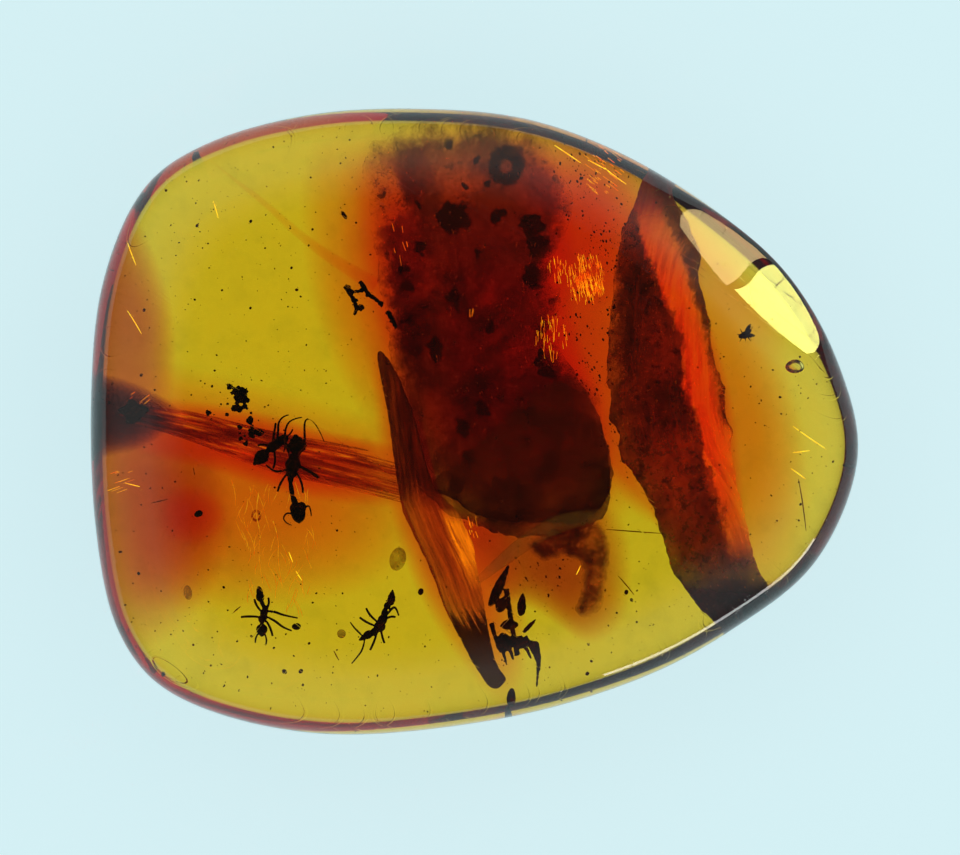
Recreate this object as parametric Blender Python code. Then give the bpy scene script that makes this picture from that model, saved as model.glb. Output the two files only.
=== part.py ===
"""A polished pebble of amber with ants, bark, a root and plant scraps sealed in it.

The pebble lies on its flat underside, on z = 0. +X runs along its length, towards its narrow end, and
+Z points out of its domed front. The origin is under the middle of the pebble. The amber is parted at
the girdle into two halves, and every sealed piece lies in a pocket that opens on the parting.
"""

import math

import bmesh
import bpy
from mathutils import Matrix, Vector

MM = 0.001

# The pebble, in millimetres.
OUTLINE = (
    (15.37, -1.5),
    (14.6, 2.3),
    (12.75, 5.65),
    (10.15, 8.1),
    (6.1, 10.65),
    (2.0, 12.15),
    (-2.4, 12.54),
    (-6.6, 12.3),
    (-10.6, 11.2),
    (-13.3, 9.3),
    (-14.9, 5.6),
    (-15.37, 1.2),
    (-15.2, -4.2),
    (-14.2, -8.6),
    (-11.6, -11.2),
    (-6.0, -12.54),
    (0.9, -11.95),
    (6.4, -10.4),
    (10.4, -8.3),
    (13.7, -5.6),
)
SEGMENTS = 56
GIRDLE_Z = 3.8
TOP_Z = 8.4
PARTING_GAP = 0.3
CROWN_RINGS = 7
CROWN_ROUNDNESS = 3.2
CROWN_SHIFT = (-0.5, 0.2)
CROWN_TAPER = 0.08
BASE_RINGS = 5
BASE_ROUNDNESS = 2.6
BASE_FLAT = 0.72

# The polished bevel on the upper right of the front.
BEVEL_BEARING = math.radians(41.7)
BEVEL_OFFSET = 11.1
BEVEL_HEIGHT = 2.9
BEVEL_SLOPE = math.radians(40)

# The pockets.
POCKET_SIDES = 8
POCKET_CLEARANCE = 0.33

LIMB_SIDES = 4
STRAND_SIDES = 12
LOBE_SEGMENTS = 9
LOBE_RINGS = 5
LEG = 0.045
FEELER = 0.035

COLOURS = {
    "amber": ((0.62, 0.38, 0.03), 0.06),
    "ant": ((0.035, 0.012, 0.006), 0.35),
    "bark": ((0.16, 0.035, 0.012), 0.6),
    "wood": ((0.2, 0.055, 0.015), 0.55),
    "root": ((0.42, 0.07, 0.012), 0.5),
    "bud": ((0.05, 0.014, 0.006), 0.5),
    "char": ((0.012, 0.008, 0.007), 0.7),
    "scale": ((0.3, 0.12, 0.03), 0.5),
}


def material(name):
    """The material of one kind of stuff, made once."""
    if name in bpy.data.materials:
        return bpy.data.materials[name]
    colour, roughness = COLOURS[name]
    made = bpy.data.materials.new(name)
    made.use_nodes = True
    shader = made.node_tree.nodes["Principled BSDF"]
    shader.inputs["Base Color"].default_value = (*colour, 1)
    shader.inputs["Roughness"].default_value = roughness
    shader.inputs["Metallic"].default_value = 0
    return made


def add_object(name, mesh_in_mm, stuff, smooth=True):
    """A scene object from a bmesh in millimetres."""
    bmesh.ops.recalc_face_normals(mesh_in_mm, faces=mesh_in_mm.faces)
    bmesh.ops.scale(mesh_in_mm, vec=(MM, MM, MM), verts=mesh_in_mm.verts)
    mesh = bpy.data.meshes.new(name)
    mesh_in_mm.to_mesh(mesh)
    mesh_in_mm.free()
    mesh.materials.append(material(stuff))
    if smooth:
        mesh.shade_smooth()
        mesh.set_sharp_from_angle(angle=math.radians(50))
    made = bpy.data.objects.new(name, mesh)
    bpy.context.scene.collection.objects.link(made)
    return made


def hide(helper):
    helper.hide_render = True
    helper.display_type = "WIRE"


def closed_spline(points, count):
    """Evenly counted points on a smooth closed curve through the given points."""
    given = [Vector(point) for point in points]
    curve = []
    for step in range(count):
        place = step * len(given) / count
        start = int(place)
        t = place - start
        a, b, c, d = (given[(start + k) % len(given)] for k in (-1, 0, 1, 2))
        curve.append(
            0.5 * (2 * b + (c - a) * t + (2 * a - 5 * b + 4 * c - d) * t**2 + (3 * b - a - 3 * c + d) * t**3)
        )
    return curve


def bridge(mesh, lower, upper):
    """Quads between two rings of the same count."""
    count = len(lower)
    for k in range(count):
        following = (k + 1) % count
        mesh.faces.new((lower[k], lower[following], upper[following], upper[k]))


def outline_ring(mesh, outline, scale, shift, height):
    """One ring of the pebble: the outline shrunk about a shifted centre, at a height given by a function."""
    ring = []
    for point in outline:
        x = point.x * scale + shift[0] * (1 - scale)
        y = point.y * scale + shift[1] * (1 - scale)
        ring.append(mesh.verts.new((x, y, height(x))))
    return ring


def cap_fan(mesh, ring, centre):
    tip = mesh.verts.new(centre)
    for k in range(len(ring)):
        mesh.faces.new((ring[k], ring[(k + 1) % len(ring)], tip))


def amber_front(outline):
    """The domed half above the girdle, with its bevel."""
    mesh = bmesh.new()
    floor_z = GIRDLE_Z + PARTING_GAP / 2
    rise = TOP_Z - floor_z
    half_length = max(point.x for point in outline)

    def height_at(lift):
        return lambda x: floor_z + rise * lift * (1 - CROWN_TAPER * (1 + x / half_length) * lift)

    rings = []
    for k in range(CROWN_RINGS):
        angle = math.pi / 2 * k / CROWN_RINGS
        scale = math.cos(angle) ** (2 / CROWN_ROUNDNESS)
        lift = math.sin(angle) ** (2 / CROWN_ROUNDNESS)
        rings.append(outline_ring(mesh, outline, scale, CROWN_SHIFT, height_at(lift)))
    for lower, upper in zip(rings, rings[1:]):
        bridge(mesh, lower, upper)
    cap_fan(mesh, rings[-1], (*CROWN_SHIFT, height_at(1)(CROWN_SHIFT[0])))
    mesh.faces.new(reversed(rings[0]))

    outward = Vector((math.cos(BEVEL_BEARING), math.sin(BEVEL_BEARING), 0))
    centre = outward * BEVEL_OFFSET + Vector((0, 0, GIRDLE_Z + BEVEL_HEIGHT))
    normal = outward * math.sin(BEVEL_SLOPE) + Vector((0, 0, math.cos(BEVEL_SLOPE)))
    everything = mesh.verts[:] + mesh.edges[:] + mesh.faces[:]
    bmesh.ops.bisect_plane(mesh, geom=everything, plane_co=centre, plane_no=normal, clear_outer=True)
    bmesh.ops.holes_fill(mesh, edges=[edge for edge in mesh.edges if edge.is_boundary])
    return add_object("amber_front", mesh, "amber")


def amber_back(outline):
    """The shallower half below the girdle, with the flat face that the pebble lies on."""
    mesh = bmesh.new()
    roof_z = GIRDLE_Z - PARTING_GAP / 2
    full_drop = roof_z / (1 - BASE_FLAT**BASE_ROUNDNESS) ** (1 / BASE_ROUNDNESS)
    last_angle = math.acos(BASE_FLAT ** (BASE_ROUNDNESS / 2))
    rings = []
    for k in range(BASE_RINGS + 1):
        angle = last_angle * k / BASE_RINGS
        scale = math.cos(angle) ** (2 / BASE_ROUNDNESS)
        z = roof_z - full_drop * math.sin(angle) ** (2 / BASE_ROUNDNESS)
        if k == BASE_RINGS:
            z = 0
        rings.append(outline_ring(mesh, outline, scale, (0, 0), lambda x, z=z: z))
    for lower, upper in zip(rings, rings[1:]):
        bridge(mesh, lower, upper)
    mesh.faces.new(rings[0])
    mesh.faces.new(reversed(rings[-1]))
    return add_object("amber_back", mesh, "amber")


def lobe(name, stuff, centre, half, turn=0, segments=LOBE_SEGMENTS, rings=LOBE_RINGS):
    """An ellipsoid with the given half sizes, turned about Z by degrees."""
    mesh = bmesh.new()
    place = (
        Matrix.Translation(centre)
        @ Matrix.Rotation(math.radians(turn), 4, "Z")
        @ Matrix.Diagonal((*half, 1))
    )
    bmesh.ops.create_uvsphere(mesh, u_segments=segments, v_segments=rings, radius=1, matrix=place)
    return add_object(name, mesh, stuff)


def strand(name, stuff, path, widths, depths, sides):
    """A closed strand along a path: each ring is an ellipse square to it, wide in plan and deep in Z."""
    mesh = bmesh.new()
    points = [Vector(point) for point in path]
    rings = []
    for k, point in enumerate(points):
        along = (points[min(k + 1, len(points) - 1)] - points[max(k - 1, 0)]).normalized()
        across = along.cross(Vector((0, 0, 1))).normalized()
        above = across.cross(along)
        ring = []
        for side in range(sides):
            angle = 2 * math.pi * side / sides
            ring.append(
                mesh.verts.new(point + across * widths[k] * math.cos(angle) + above * depths[k] * math.sin(angle))
            )
        rings.append(ring)
    for lower, upper in zip(rings, rings[1:]):
        bridge(mesh, lower, upper)
    mesh.faces.new(reversed(rings[0]))
    mesh.faces.new(rings[-1])
    return add_object(name, mesh, stuff)


def limb(name, stuff, path, radius):
    """A thin leg, feeler or fibre that tapers to half its thickness."""
    count = len(path)
    radii = [radius * (1 - 0.5 * k / (count - 1)) for k in range(count)]
    return strand(name, stuff, path, radii, radii, LIMB_SIDES)


def sheet(name, stuff, outline, middle_z, tilt, thickness, edge=0.7):
    """A flat piece with thinned edges. Its plane tilts by a rise per mm along X and along Y."""
    mesh = bmesh.new()
    centre = sum((Vector(point) for point in outline), Vector((0, 0))) / len(outline)
    rings = []
    for inset, level in ((edge, -0.5), (0, -0.25), (0, 0.25), (edge, 0.5)):
        ring = []
        for point in outline:
            inward = centre - Vector(point)
            x, y = Vector(point) + inward.normalized() * min(inset * thickness, 0.4 * inward.length)
            z = middle_z + tilt[0] * (x - centre.x) + tilt[1] * (y - centre.y)
            ring.append(mesh.verts.new((x, y, z + level * thickness)))
        rings.append(ring)
    for lower, upper in zip(rings, rings[1:]):
        bridge(mesh, lower, upper)
    mesh.faces.new(reversed(rings[0]))
    mesh.faces.new(rings[-1])
    return add_object(name, mesh, stuff)


def join(name, shapes):
    """One body from overlapping shapes: the first shape united with all the others."""
    whole = shapes[0]
    whole.name = name
    rest = bpy.data.collections.new(name + "_pieces")
    bpy.context.scene.collection.children.link(rest)
    for shape in shapes[1:]:
        bpy.context.scene.collection.objects.unlink(shape)
        rest.objects.link(shape)
        hide(shape)
    union = whole.modifiers.new("union", "BOOLEAN")
    union.operation = "UNION"
    union.operand_type = "COLLECTION"
    union.collection = rest
    union.solver = "EXACT"
    return whole


def insect(name, depth, body, limbs):
    """An insect at one depth: ellipsoids for its body, thin strands for its legs and feelers."""
    shapes = []
    for k, (x, y, across, along, turn) in enumerate(body):
        thick = 0.9 * min(across, along)
        shapes.append(lobe(f"{name}_body_{k}", "ant", (x, y, depth), (across, along, thick), turn))
    for k, (radius, *path) in enumerate(limbs):
        droop = 0.03 * (1 - 2 * (k % 2))
        points = [(x, y, depth + droop * step) for step, (x, y) in enumerate(path)]
        shapes.append(limb(f"{name}_limb_{k}", "ant", points, radius))
    return join(name, shapes)


def ant_large():
    body = (
        (-6.95, -0.94, 0.33, 0.34, 0),
        (-7.02, -1.28, 0.13, 0.16, 0),
        (-7.11, -1.66, 0.22, 0.42, -8),
        (-7.2, -2.2, 0.12, 0.24, 0),
        (-7.16, -2.68, 0.09, 0.36, 9),
        (-7.05, -3.12, 0.11, 0.24, 20),
        (-6.91, -3.54, 0.29, 0.36, 10),
        (-6.88, -3.86, 0.15, 0.22, 8),
    )
    limbs = (
        (FEELER, (-7.0, -3.35), (-7.3, -3.5), (-7.51, -3.78), (-7.35, -3.98), (-7.15, -4.06)),
        (FEELER, (-6.8, -3.3), (-6.55, -3.22), (-6.42, -3.42), (-6.4, -3.7)),
        (LEG, (-7.15, -1.5), (-7.42, -0.95), (-7.42, -0.3), (-7.2, 0.1), (-6.75, 0.16)),
        (LEG, (-7.0, -1.5), (-6.62, -0.98), (-6.68, -0.2), (-6.62, 0.1), (-6.4, 0.08), (-6.1, -0.3), (-5.9, -0.8)),
        (1.3 * LEG, (-7.0, -1.72), (-6.5, -1.88), (-6.11, -2.22)),
        (LEG, (-7.15, -1.8), (-7.6, -2.0), (-7.95, -1.9), (-8.15, -1.7)),
        (LEG, (-7.05, -1.9), (-6.7, -2.35), (-6.72, -2.8)),
        (LEG, (-7.2, -1.9), (-7.6, -2.3), (-7.7, -2.75)),
    )
    return insect("ant_large", 5.75, body, limbs)


def ant_curled():
    body = (
        (-8.37, -1.42, 0.25, 0.31, -35),
        (-8.1, -1.14, 0.1, 0.16, -45),
        (-7.86, -0.96, 0.15, 0.32, -55),
        (-7.52, -0.72, 0.14, 0.2, -50),
    )
    limbs = (
        (LEG, (-7.95, -1.0), (-7.86, -0.5), (-7.8, -0.06)),
        (LEG, (-7.8, -0.9), (-7.7, -0.45), (-7.72, -0.05), (-7.5, 0.22), (-7.3, 0.26)),
        (LEG, (-7.9, -1.05), (-7.75, -1.5), (-7.9, -1.85)),
        (LEG, (-8.0, -1.0), (-8.25, -0.85), (-8.5, -0.95)),
        (FEELER, (-7.5, -0.75), (-7.38, -1.0), (-7.5, -1.2)),
        (FEELER, (-7.45, -0.65), (-7.2, -0.5), (-7.15, -0.3)),
    )
    return insect("ant_curled", 4.95, body, limbs)


def ant_small_left():
    body = (
        (-8.43, -6.7, 0.13, 0.3, 10),
        (-8.33, -7.06, 0.07, 0.16, 20),
        (-8.22, -7.25, 0.1, 0.11, 0),
        (-8.3, -7.54, 0.13, 0.24, -12),
        (-8.34, -7.86, 0.07, 0.14, 0),
        (-8.35, -8.06, 0.18, 0.2, 0),
    )
    limbs = (
        (LEG, (-8.25, -7.35), (-7.85, -7.36), (-7.59, -7.5), (-6.95, -7.62)),
        (LEG, (-8.22, -7.54), (-7.85, -7.7), (-7.55, -7.98), (-7.19, -8.1)),
        (LEG, (-8.25, -7.66), (-8.03, -7.86), (-7.93, -8.3)),
        (LEG, (-8.35, -7.6), (-8.7, -7.52), (-9.15, -7.58)),
        (LEG, (-8.33, -7.4), (-8.6, -7.15), (-8.62, -6.9)),
        (LEG, (-8.22, -7.35), (-8.02, -7.1), (-8.1, -6.84)),
        (FEELER, (-8.4, -8.1), (-8.62, -8.3), (-8.6, -8.55)),
        (FEELER, (-8.28, -8.12), (-8.12, -8.4), (-8.2, -8.62)),
    )
    return insect("ant_small_left", 4.9, body, limbs)


def ant_small_right():
    body = (
        (-3.31, -6.9, 0.14, 0.28, -8),
        (-3.47, -7.16, 0.11, 0.14, -30),
        (-3.59, -7.42, 0.1, 0.2, -20),
        (-3.71, -7.86, 0.18, 0.28, -25),
        (-3.97, -8.14, 0.12, 0.18, -50),
        (-4.3, -8.3, 0.12, 0.3, -60),
    )
    limbs = (
        (FEELER, (-4.4, -8.35), (-4.6, -8.15), (-4.78, -7.98), (-4.92, -7.78)),
        (FEELER, (-4.35, -8.4), (-4.4, -8.75), (-4.6, -9.05), (-4.87, -9.34)),
        (LEG, (-3.73, -7.95), (-3.7, -8.32), (-3.58, -8.58)),
        (LEG, (-3.65, -7.75), (-3.35, -7.5), (-3.15, -7.6)),
        (LEG, (-3.6, -7.65), (-3.3, -7.24), (-3.12, -7.2), (-3.02, -7.54)),
        (LEG, (-3.8, -7.8), (-4.15, -7.6), (-4.3, -7.25)),
        (LEG, (-3.85, -7.95), (-4.25, -7.85), (-4.55, -7.6)),
        (LEG, (-3.85, -8.05), (-3.95, -8.5), (-4.15, -8.84)),
    )
    return insect("ant_small_right", 4.9, body, limbs)


def gnat():
    """A midge with its two wings folded flat over its back."""
    x, y, z = 10.49, 3.3, 4.8
    shapes = [
        lobe("gnat_thorax", "ant", (x, y, z), (0.14, 0.13, 0.13)),
        lobe("gnat_abdomen", "ant", (x + 0.2, y - 0.03, z), (0.18, 0.09, 0.09), -10),
        lobe("gnat_head", "ant", (x - 0.14, y - 0.03, z), (0.08, 0.09, 0.08)),
    ]
    for side in (-1, 1):
        wing = lobe(
            f"gnat_wing_{side}", "ant", (x + 0.17, y + side * 0.11, z + 0.1), (0.26, 0.08, 0.02), side * 18
        )
        shapes.append(wing)
        for reach in (-0.12, 0.03, 0.16):
            path = [
                (x + reach / 2, y, z - 0.06),
                (x + reach, y + side * 0.2, z - 0.02),
                (x + 1.5 * reach, y + side * 0.33, z - 0.1),
            ]
            shapes.append(limb(f"gnat_leg_{side}_{reach}", "ant", path, FEELER))
    return join("gnat", shapes)


def bark_slab():
    outline = (
        (-4.1, 10.5),
        (-1.4, 11.1),
        (2.0, 11.1),
        (3.6, 10.2),
        (4.1, 8.2),
        (3.25, 6.3),
        (3.3, 4.6),
        (3.9, 2.6),
        (4.6, 0.9),
        (5.0, -0.4),
        (5.35, -1.7),
        (5.2, -3.4),
        (4.4, -4.2),
        (2.2, -4.5),
        (0.1, -4.1),
        (-1.75, -2.9),
        (-2.5, -0.7),
        (-3.0, 2.6),
        (-3.7, 5.6),
        (-4.2, 8.0),
    )
    return sheet("bark_slab", "bark", outline, 3.75, (0.01, 0.015), 0.75)


def bark_flake():
    outline = (
        (-1.75, -2.5),
        (-0.15, -0.86),
        (1.8, 0.9),
        (4.3, 1.8),
        (5.2, -1.0),
        (5.25, -2.8),
        (4.3, -3.9),
        (2.1, -3.95),
        (0.25, -3.8),
        (-0.95, -3.0),
    )
    return sheet("bark_flake", "bark", outline, 4.6, (0, 0), 0.3)


def bark_strip():
    outline = (
        (6.7, 9.6),
        (7.8, 8.3),
        (8.5, 6.5),
        (9.15, 4.5),
        (9.75, 2.2),
        (10.2, 0.2),
        (10.4, -2.3),
        (10.9, -5.0),
        (11.3, -6.6),
        (10.5, -7.35),
        (9.5, -7.5),
        (8.2, -6.5),
        (7.6, -5.4),
        (7.3, -4.3),
        (6.7, -2.9),
        (5.85, -1.3),
        (5.6, 0.4),
        (5.55, 3.0),
        (5.7, 5.4),
        (5.9, 7.6),
    )
    return sheet("bark_strip", "bark", outline, 3.9, (-0.09, 0), 0.7)


def wood_blade():
    outline = (
        (-3.85, 2.6),
        (-3.2, 2.1),
        (-2.2, -2.3),
        (-0.5, -3.9),
        (0.1, -5.9),
        (0.4, -7.5),
        (0.75, -9.2),
        (1.15, -9.9),
        (0.6, -10.2),
        (-0.1, -9.3),
        (-0.7, -8.2),
        (-1.25, -7.2),
        (-1.75, -5.8),
        (-2.4, -4.5),
        (-2.95, -3.1),
        (-3.4, 0.0),
    )
    return sheet("wood_blade", "wood", outline, 4.85, (0, 0), 0.35)


def root():
    path = (
        (-13.6, 0.3, 4.05),
        (-12.6, 0.18, 4.05),
        (-10.9, -0.2, 4.05),
        (-9.3, -0.75, 4.05),
        (-7.7, -1.25, 4.05),
        (-6.0, -1.65, 4.05),
        (-4.4, -2.0, 4.05),
        (-3.2, -2.3, 4.05),
    )
    widths = (0.2, 0.42, 0.62, 0.8, 0.95, 1.0, 0.95, 0.5)
    depths = (0.12, 0.25, 0.34, 0.36, 0.36, 0.36, 0.34, 0.15)
    return strand("root", "root", path, widths, depths, STRAND_SIDES)


def husk_curl():
    path = (
        (1.3, -4.5, 4.8),
        (2.6, -4.4, 4.85),
        (3.9, -4.45, 4.85),
        (4.8, -4.8, 4.85),
        (5.1, -5.5, 4.85),
        (5.08, -6.3, 4.85),
        (4.85, -7.1, 4.8),
        (4.25, -7.6, 4.75),
    )
    widths = (0.1, 0.18, 0.24, 0.28, 0.28, 0.26, 0.2, 0.1)
    depths = (0.1, 0.2, 0.25, 0.25, 0.25, 0.25, 0.2, 0.1)
    return strand("husk_curl", "bark", path, widths, depths, STRAND_SIDES)


def bud_scales():
    """Small dark scales on a short stalk, with a ragged fringe and one spike below them."""
    z = 4.35
    shapes = [limb("bud_stalk", "bud", [(1.2, -6.5, z), (1.35, -7.6, z), (1.6, -9.0, z)], 0.14)]
    scales = (
        (1.0, -6.5, 0.2, 0.9, -20),
        (1.05, -7.1, 0.18, 0.34, 10),
        (1.68, -7.25, 0.22, 0.55, -25),
        (1.3, -7.95, 0.36, 0.26, 0),
        (1.95, -8.0, 0.28, 0.13, 15),
    )
    for k, (x, y, across, along, turn) in enumerate(scales):
        shapes.append(lobe(f"bud_scale_{k}", "bud", (x, y, z), (across, along, 0.14), turn))
    fringe = (
        ((1.35, -8.1), (1.1, -8.6), (1.15, -8.95)),
        ((1.6, -8.2), (1.7, -8.7), (1.6, -9.1)),
        ((1.7, -8.1), (2.1, -8.5), (2.3, -8.7)),
        ((1.6, -8.6), (2.2, -9.0), (2.35, -9.5), (2.33, -10.0)),
    )
    for k, path in enumerate(fringe):
        shapes.append(limb(f"bud_fringe_{k}", "bud", [(x, y, z) for x, y in path], 0.13))
    return join("bud_scales", shapes)


def black_lump():
    outline = ((-13.6, 0.62), (-13.3, 0.85), (-12.85, 0.8), (-12.65, 0.4), (-12.85, 0.08), (-13.45, 0.05))
    return sheet("black_lump", "char", outline, 5.0, (0, 0), 0.55, edge=0.3)


def frass():
    """Loose round granules, some of them stretched."""
    grains = (
        (-9.55, 1.3, 0.13, 0.15),
        (-9.11, 1.1, 0.22, 0.2),
        (-9.3, 0.5, 0.17, 0.16),
        (-8.85, 0.62, 0.11, 0.12),
        (-8.75, 0.05, 0.13, 0.13),
        (-9.15, -0.26, 0.12, 0.13),
        (-8.75, -0.44, 0.1, 0.2),
        (-8.35, -0.4, 0.1, 0.18),
    )
    made = []
    for k, (x, y, across, along) in enumerate(grains):
        half = (across, along, 0.9 * across)
        made.append(lobe(f"frass_{k + 1}", "char", (x, y, 5.35), half, segments=8, rings=5))
    return made


def charred():
    """Black brittle fibres, in three loose bits."""
    z = 5.3
    left = join(
        "charred_1",
        [
            limb("charred_trunk", "char", [(-5.1, 5.3, z), (-4.75, 4.75, z), (-4.63, 4.35, z), (-4.75, 4.18, z)], 0.1),
            limb("charred_fork", "char", [(-5.0, 5.15, z), (-4.8, 5.0, z), (-4.5, 5.1, z)], 0.09),
            lobe("charred_knot", "char", (-4.5, 4.45, z), (0.16, 0.14, 0.12), segments=8, rings=5),
        ],
    )
    middle_path = [(-4.52, 5.45, z), (-4.3, 5.15, z), (-4.15, 4.9, z), (-3.87, 4.78, z), (-3.65, 4.5, z)]
    middle = limb("charred_2", "char", middle_path, 0.1)
    right = limb("charred_3", "char", [(-3.45, 4.3, z), (-3.25, 4.0, z), (-3.1, 3.65, z)], 0.11)
    return [left, middle, right]


def seeds():
    return [
        lobe("seed_upper", "bud", (1.33, -10.4, 4.3), (0.18, 0.27, 0.16), -10),
        lobe("seed_lower", "bud", (1.13, -10.88, 3.85), (0.19, 0.33, 0.17), -5),
    ]


def scraps():
    """Single dark bits, and thin round scales."""
    return [
        lobe("pellet", "char", (-10.75, -3.62, 4.6), (0.16, 0.12, 0.12), 15, 8, 5),
        lobe("grain", "char", (-5.15, 7.98, 4.6), (0.08, 0.18, 0.08), 30, 8, 5),
        lobe("crumb", "char", (-7.03, -7.94, 4.4), (0.17, 0.12, 0.12), 0, 8, 5),
        lobe("scale_1", "scale", (-3.07, -5.38, 4.3), (0.32, 0.46, 0.05), -15),
        lobe("scale_2", "scale", (-11.15, -6.66, 4.4), (0.16, 0.28, 0.05), 10),
        lobe("scale_3", "scale", (-5.27, -8.22, 4.5), (0.17, 0.17, 0.05)),
    ]


def pocket(name, pieces):
    """A prism with flat sides round some pieces, a clearance wider than they are, that crosses the parting."""
    points = [vertex.co / MM for piece in pieces for vertex in outer_vertices(piece)]
    floor_z = min(min(point.z for point in points) - POCKET_CLEARANCE, GIRDLE_Z - 2 * PARTING_GAP)
    roof_z = max(max(point.z for point in points) + POCKET_CLEARANCE, GIRDLE_Z + 2 * PARTING_GAP)
    step = 2 * math.pi / POCKET_SIDES
    outward = [Vector((math.cos(step * side), math.sin(step * side), 0)) for side in range(POCKET_SIDES)]
    reach = [max(point.dot(normal) for point in points) + POCKET_CLEARANCE for normal in outward]
    mesh = bmesh.new()
    rings = ([], [])
    for side, normal in enumerate(outward):
        following = reach[(side + 1) % POCKET_SIDES]
        sideways = (following - reach[side] * math.cos(step)) / math.sin(step)
        corner = normal * reach[side] + Vector((-normal.y, normal.x, 0)) * sideways
        for ring, z in zip(rings, (floor_z, roof_z)):
            ring.append(mesh.verts.new((corner.x, corner.y, z)))
    bridge(mesh, rings[0], rings[1])
    mesh.faces.new(reversed(rings[0]))
    mesh.faces.new(rings[1])
    cutter = add_object("pocket_" + name, mesh, "amber", smooth=False)
    hide(cutter)
    return cutter


def outer_vertices(piece):
    """The vertices of a piece and of every shape that is joined to it."""
    vertices = list(piece.data.vertices)
    for modifier in piece.modifiers:
        if modifier.type == "BOOLEAN":
            for shape in modifier.collection.objects:
                vertices += shape.data.vertices
    return vertices


def cut_pockets(half, cutters):
    cut = half.modifiers.new("pockets", "BOOLEAN")
    cut.operation = "DIFFERENCE"
    cut.operand_type = "COLLECTION"
    cut.collection = cutters
    cut.solver = "EXACT"


def main():
    for old in list(bpy.data.objects):
        bpy.data.objects.remove(old)

    outline = closed_spline(OUTLINE, SEGMENTS)
    halves = [amber_front(outline), amber_back(outline)]

    groups = {
        "ants": [ant_large(), ant_curled()],
        "ant_small_left": [ant_small_left()],
        "ant_small_right": [ant_small_right()],
        "gnat": [gnat()],
        "bark_slab": [bark_slab()],
        "bark_flake": [bark_flake()],
        "bark_strip": [bark_strip()],
        "wood_blade": [wood_blade()],
        "root": [root()],
        "husk_curl": [husk_curl()],
        "bud_scales": [bud_scales()],
        "seeds": seeds(),
        "black_lump": [black_lump()],
        "frass": frass(),
        "charred": charred(),
    }
    for scrap in scraps():
        groups[scrap.name] = [scrap]

    cutters = bpy.data.collections.new("pockets")
    bpy.context.scene.collection.children.link(cutters)
    for name, pieces in groups.items():
        cutter = pocket(name, pieces)
        bpy.context.scene.collection.objects.unlink(cutter)
        cutters.objects.link(cutter)
    for half in halves:
        cut_pockets(half, cutters)


main()
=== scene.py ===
"""The looks of the amber pebble: its clear resin, the ants, bark and plant scraps in it, and a plain studio.

Everything is worked out in millimetres and shrunk to metres when a piece is settled. The frame is the
part's own: the pebble lies on z = 0, +X runs towards its narrow end and +Z out of its domed front.
"""

import math
import random

import bmesh
import bpy
from mathutils import Euler, Matrix, Vector, kdtree, noise


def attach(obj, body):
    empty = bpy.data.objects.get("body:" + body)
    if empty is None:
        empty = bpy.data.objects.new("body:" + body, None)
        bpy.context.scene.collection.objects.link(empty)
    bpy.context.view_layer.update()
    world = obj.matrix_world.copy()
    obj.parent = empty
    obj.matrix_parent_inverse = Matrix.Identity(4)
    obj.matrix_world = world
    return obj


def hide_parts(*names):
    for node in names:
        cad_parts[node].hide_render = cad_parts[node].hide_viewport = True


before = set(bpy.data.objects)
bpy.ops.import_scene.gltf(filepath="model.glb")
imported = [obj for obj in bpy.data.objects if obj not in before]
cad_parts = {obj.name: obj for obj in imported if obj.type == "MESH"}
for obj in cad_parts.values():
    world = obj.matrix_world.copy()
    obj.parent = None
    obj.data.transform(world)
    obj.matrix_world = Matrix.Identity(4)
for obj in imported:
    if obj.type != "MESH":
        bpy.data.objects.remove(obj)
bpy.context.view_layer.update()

MM = 0.001

# ---------------------------------------------------------------- the pebble's own measures, in millimetres
OUTLINE = (
    (15.37, -1.5), (14.6, 2.3), (12.75, 5.65), (10.15, 8.1), (6.1, 10.65), (2.0, 12.15), (-2.4, 12.54),
    (-6.6, 12.3), (-10.6, 11.2), (-13.3, 9.3), (-14.9, 5.6), (-15.37, 1.2), (-15.2, -4.2), (-14.2, -8.6),
    (-11.6, -11.2), (-6.0, -12.54), (0.9, -11.95), (6.4, -10.4), (10.4, -8.3), (13.7, -5.6),
)
STONE_SIDES = 100
GIRDLE_Z = 3.8
TOP_Z = 8.4
CROWN_RINGS = 16
CROWN_ROUNDNESS = 3.2
CROWN_SHIFT = (-0.5, 0.2)
CROWN_TAPER = 0.08
BASE_RINGS = 9
BASE_ROUNDNESS = 2.6
BASE_FLAT = 0.72
BEVEL_BEARING = math.radians(41.7)
BEVEL_OFFSET = 11.1
BEVEL_HEIGHT = 2.9
BEVEL_SLOPE = math.radians(40)
BEVEL_SOFTNESS = 0.1
BUBBLE_PLACE = (12.45, 2.06, 5.3)
BUBBLE_HALF = (0.4, 0.25, 0.28)
BUBBLE_TURN = -8

# How far down each kind of thing lies sealed.
LARGE_ANT_Z = 5.75
SMALL_ANT_Z = 4.9
CURLED_ANT_Z = 4.95
GNAT_PLACE = (10.49, 3.3, 4.8)
CHARRED_Z = 5.3
FRASS_Z = 5.35

# The radius of a leg and of a feeler, and the size of the small faces an insect is melted into.
LEG = 0.052
FEELER = 0.04
INSECT_GRAIN = 0.02


# ---------------------------------------------------------------- working in the modeller
def deselect():
    bpy.ops.object.select_all(action="DESELECT")


def only(piece):
    deselect()
    piece.select_set(True)
    bpy.context.view_layer.objects.active = piece


def renamed(piece, name):
    piece.name = name
    piece.data.name = name
    return piece


def named(name):
    return renamed(bpy.context.active_object, name)


def edit(piece):
    only(piece)
    bpy.ops.object.mode_set(mode="EDIT")
    bpy.ops.mesh.select_all(action="SELECT")


def leave():
    bpy.ops.object.mode_set(mode="OBJECT")


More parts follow.
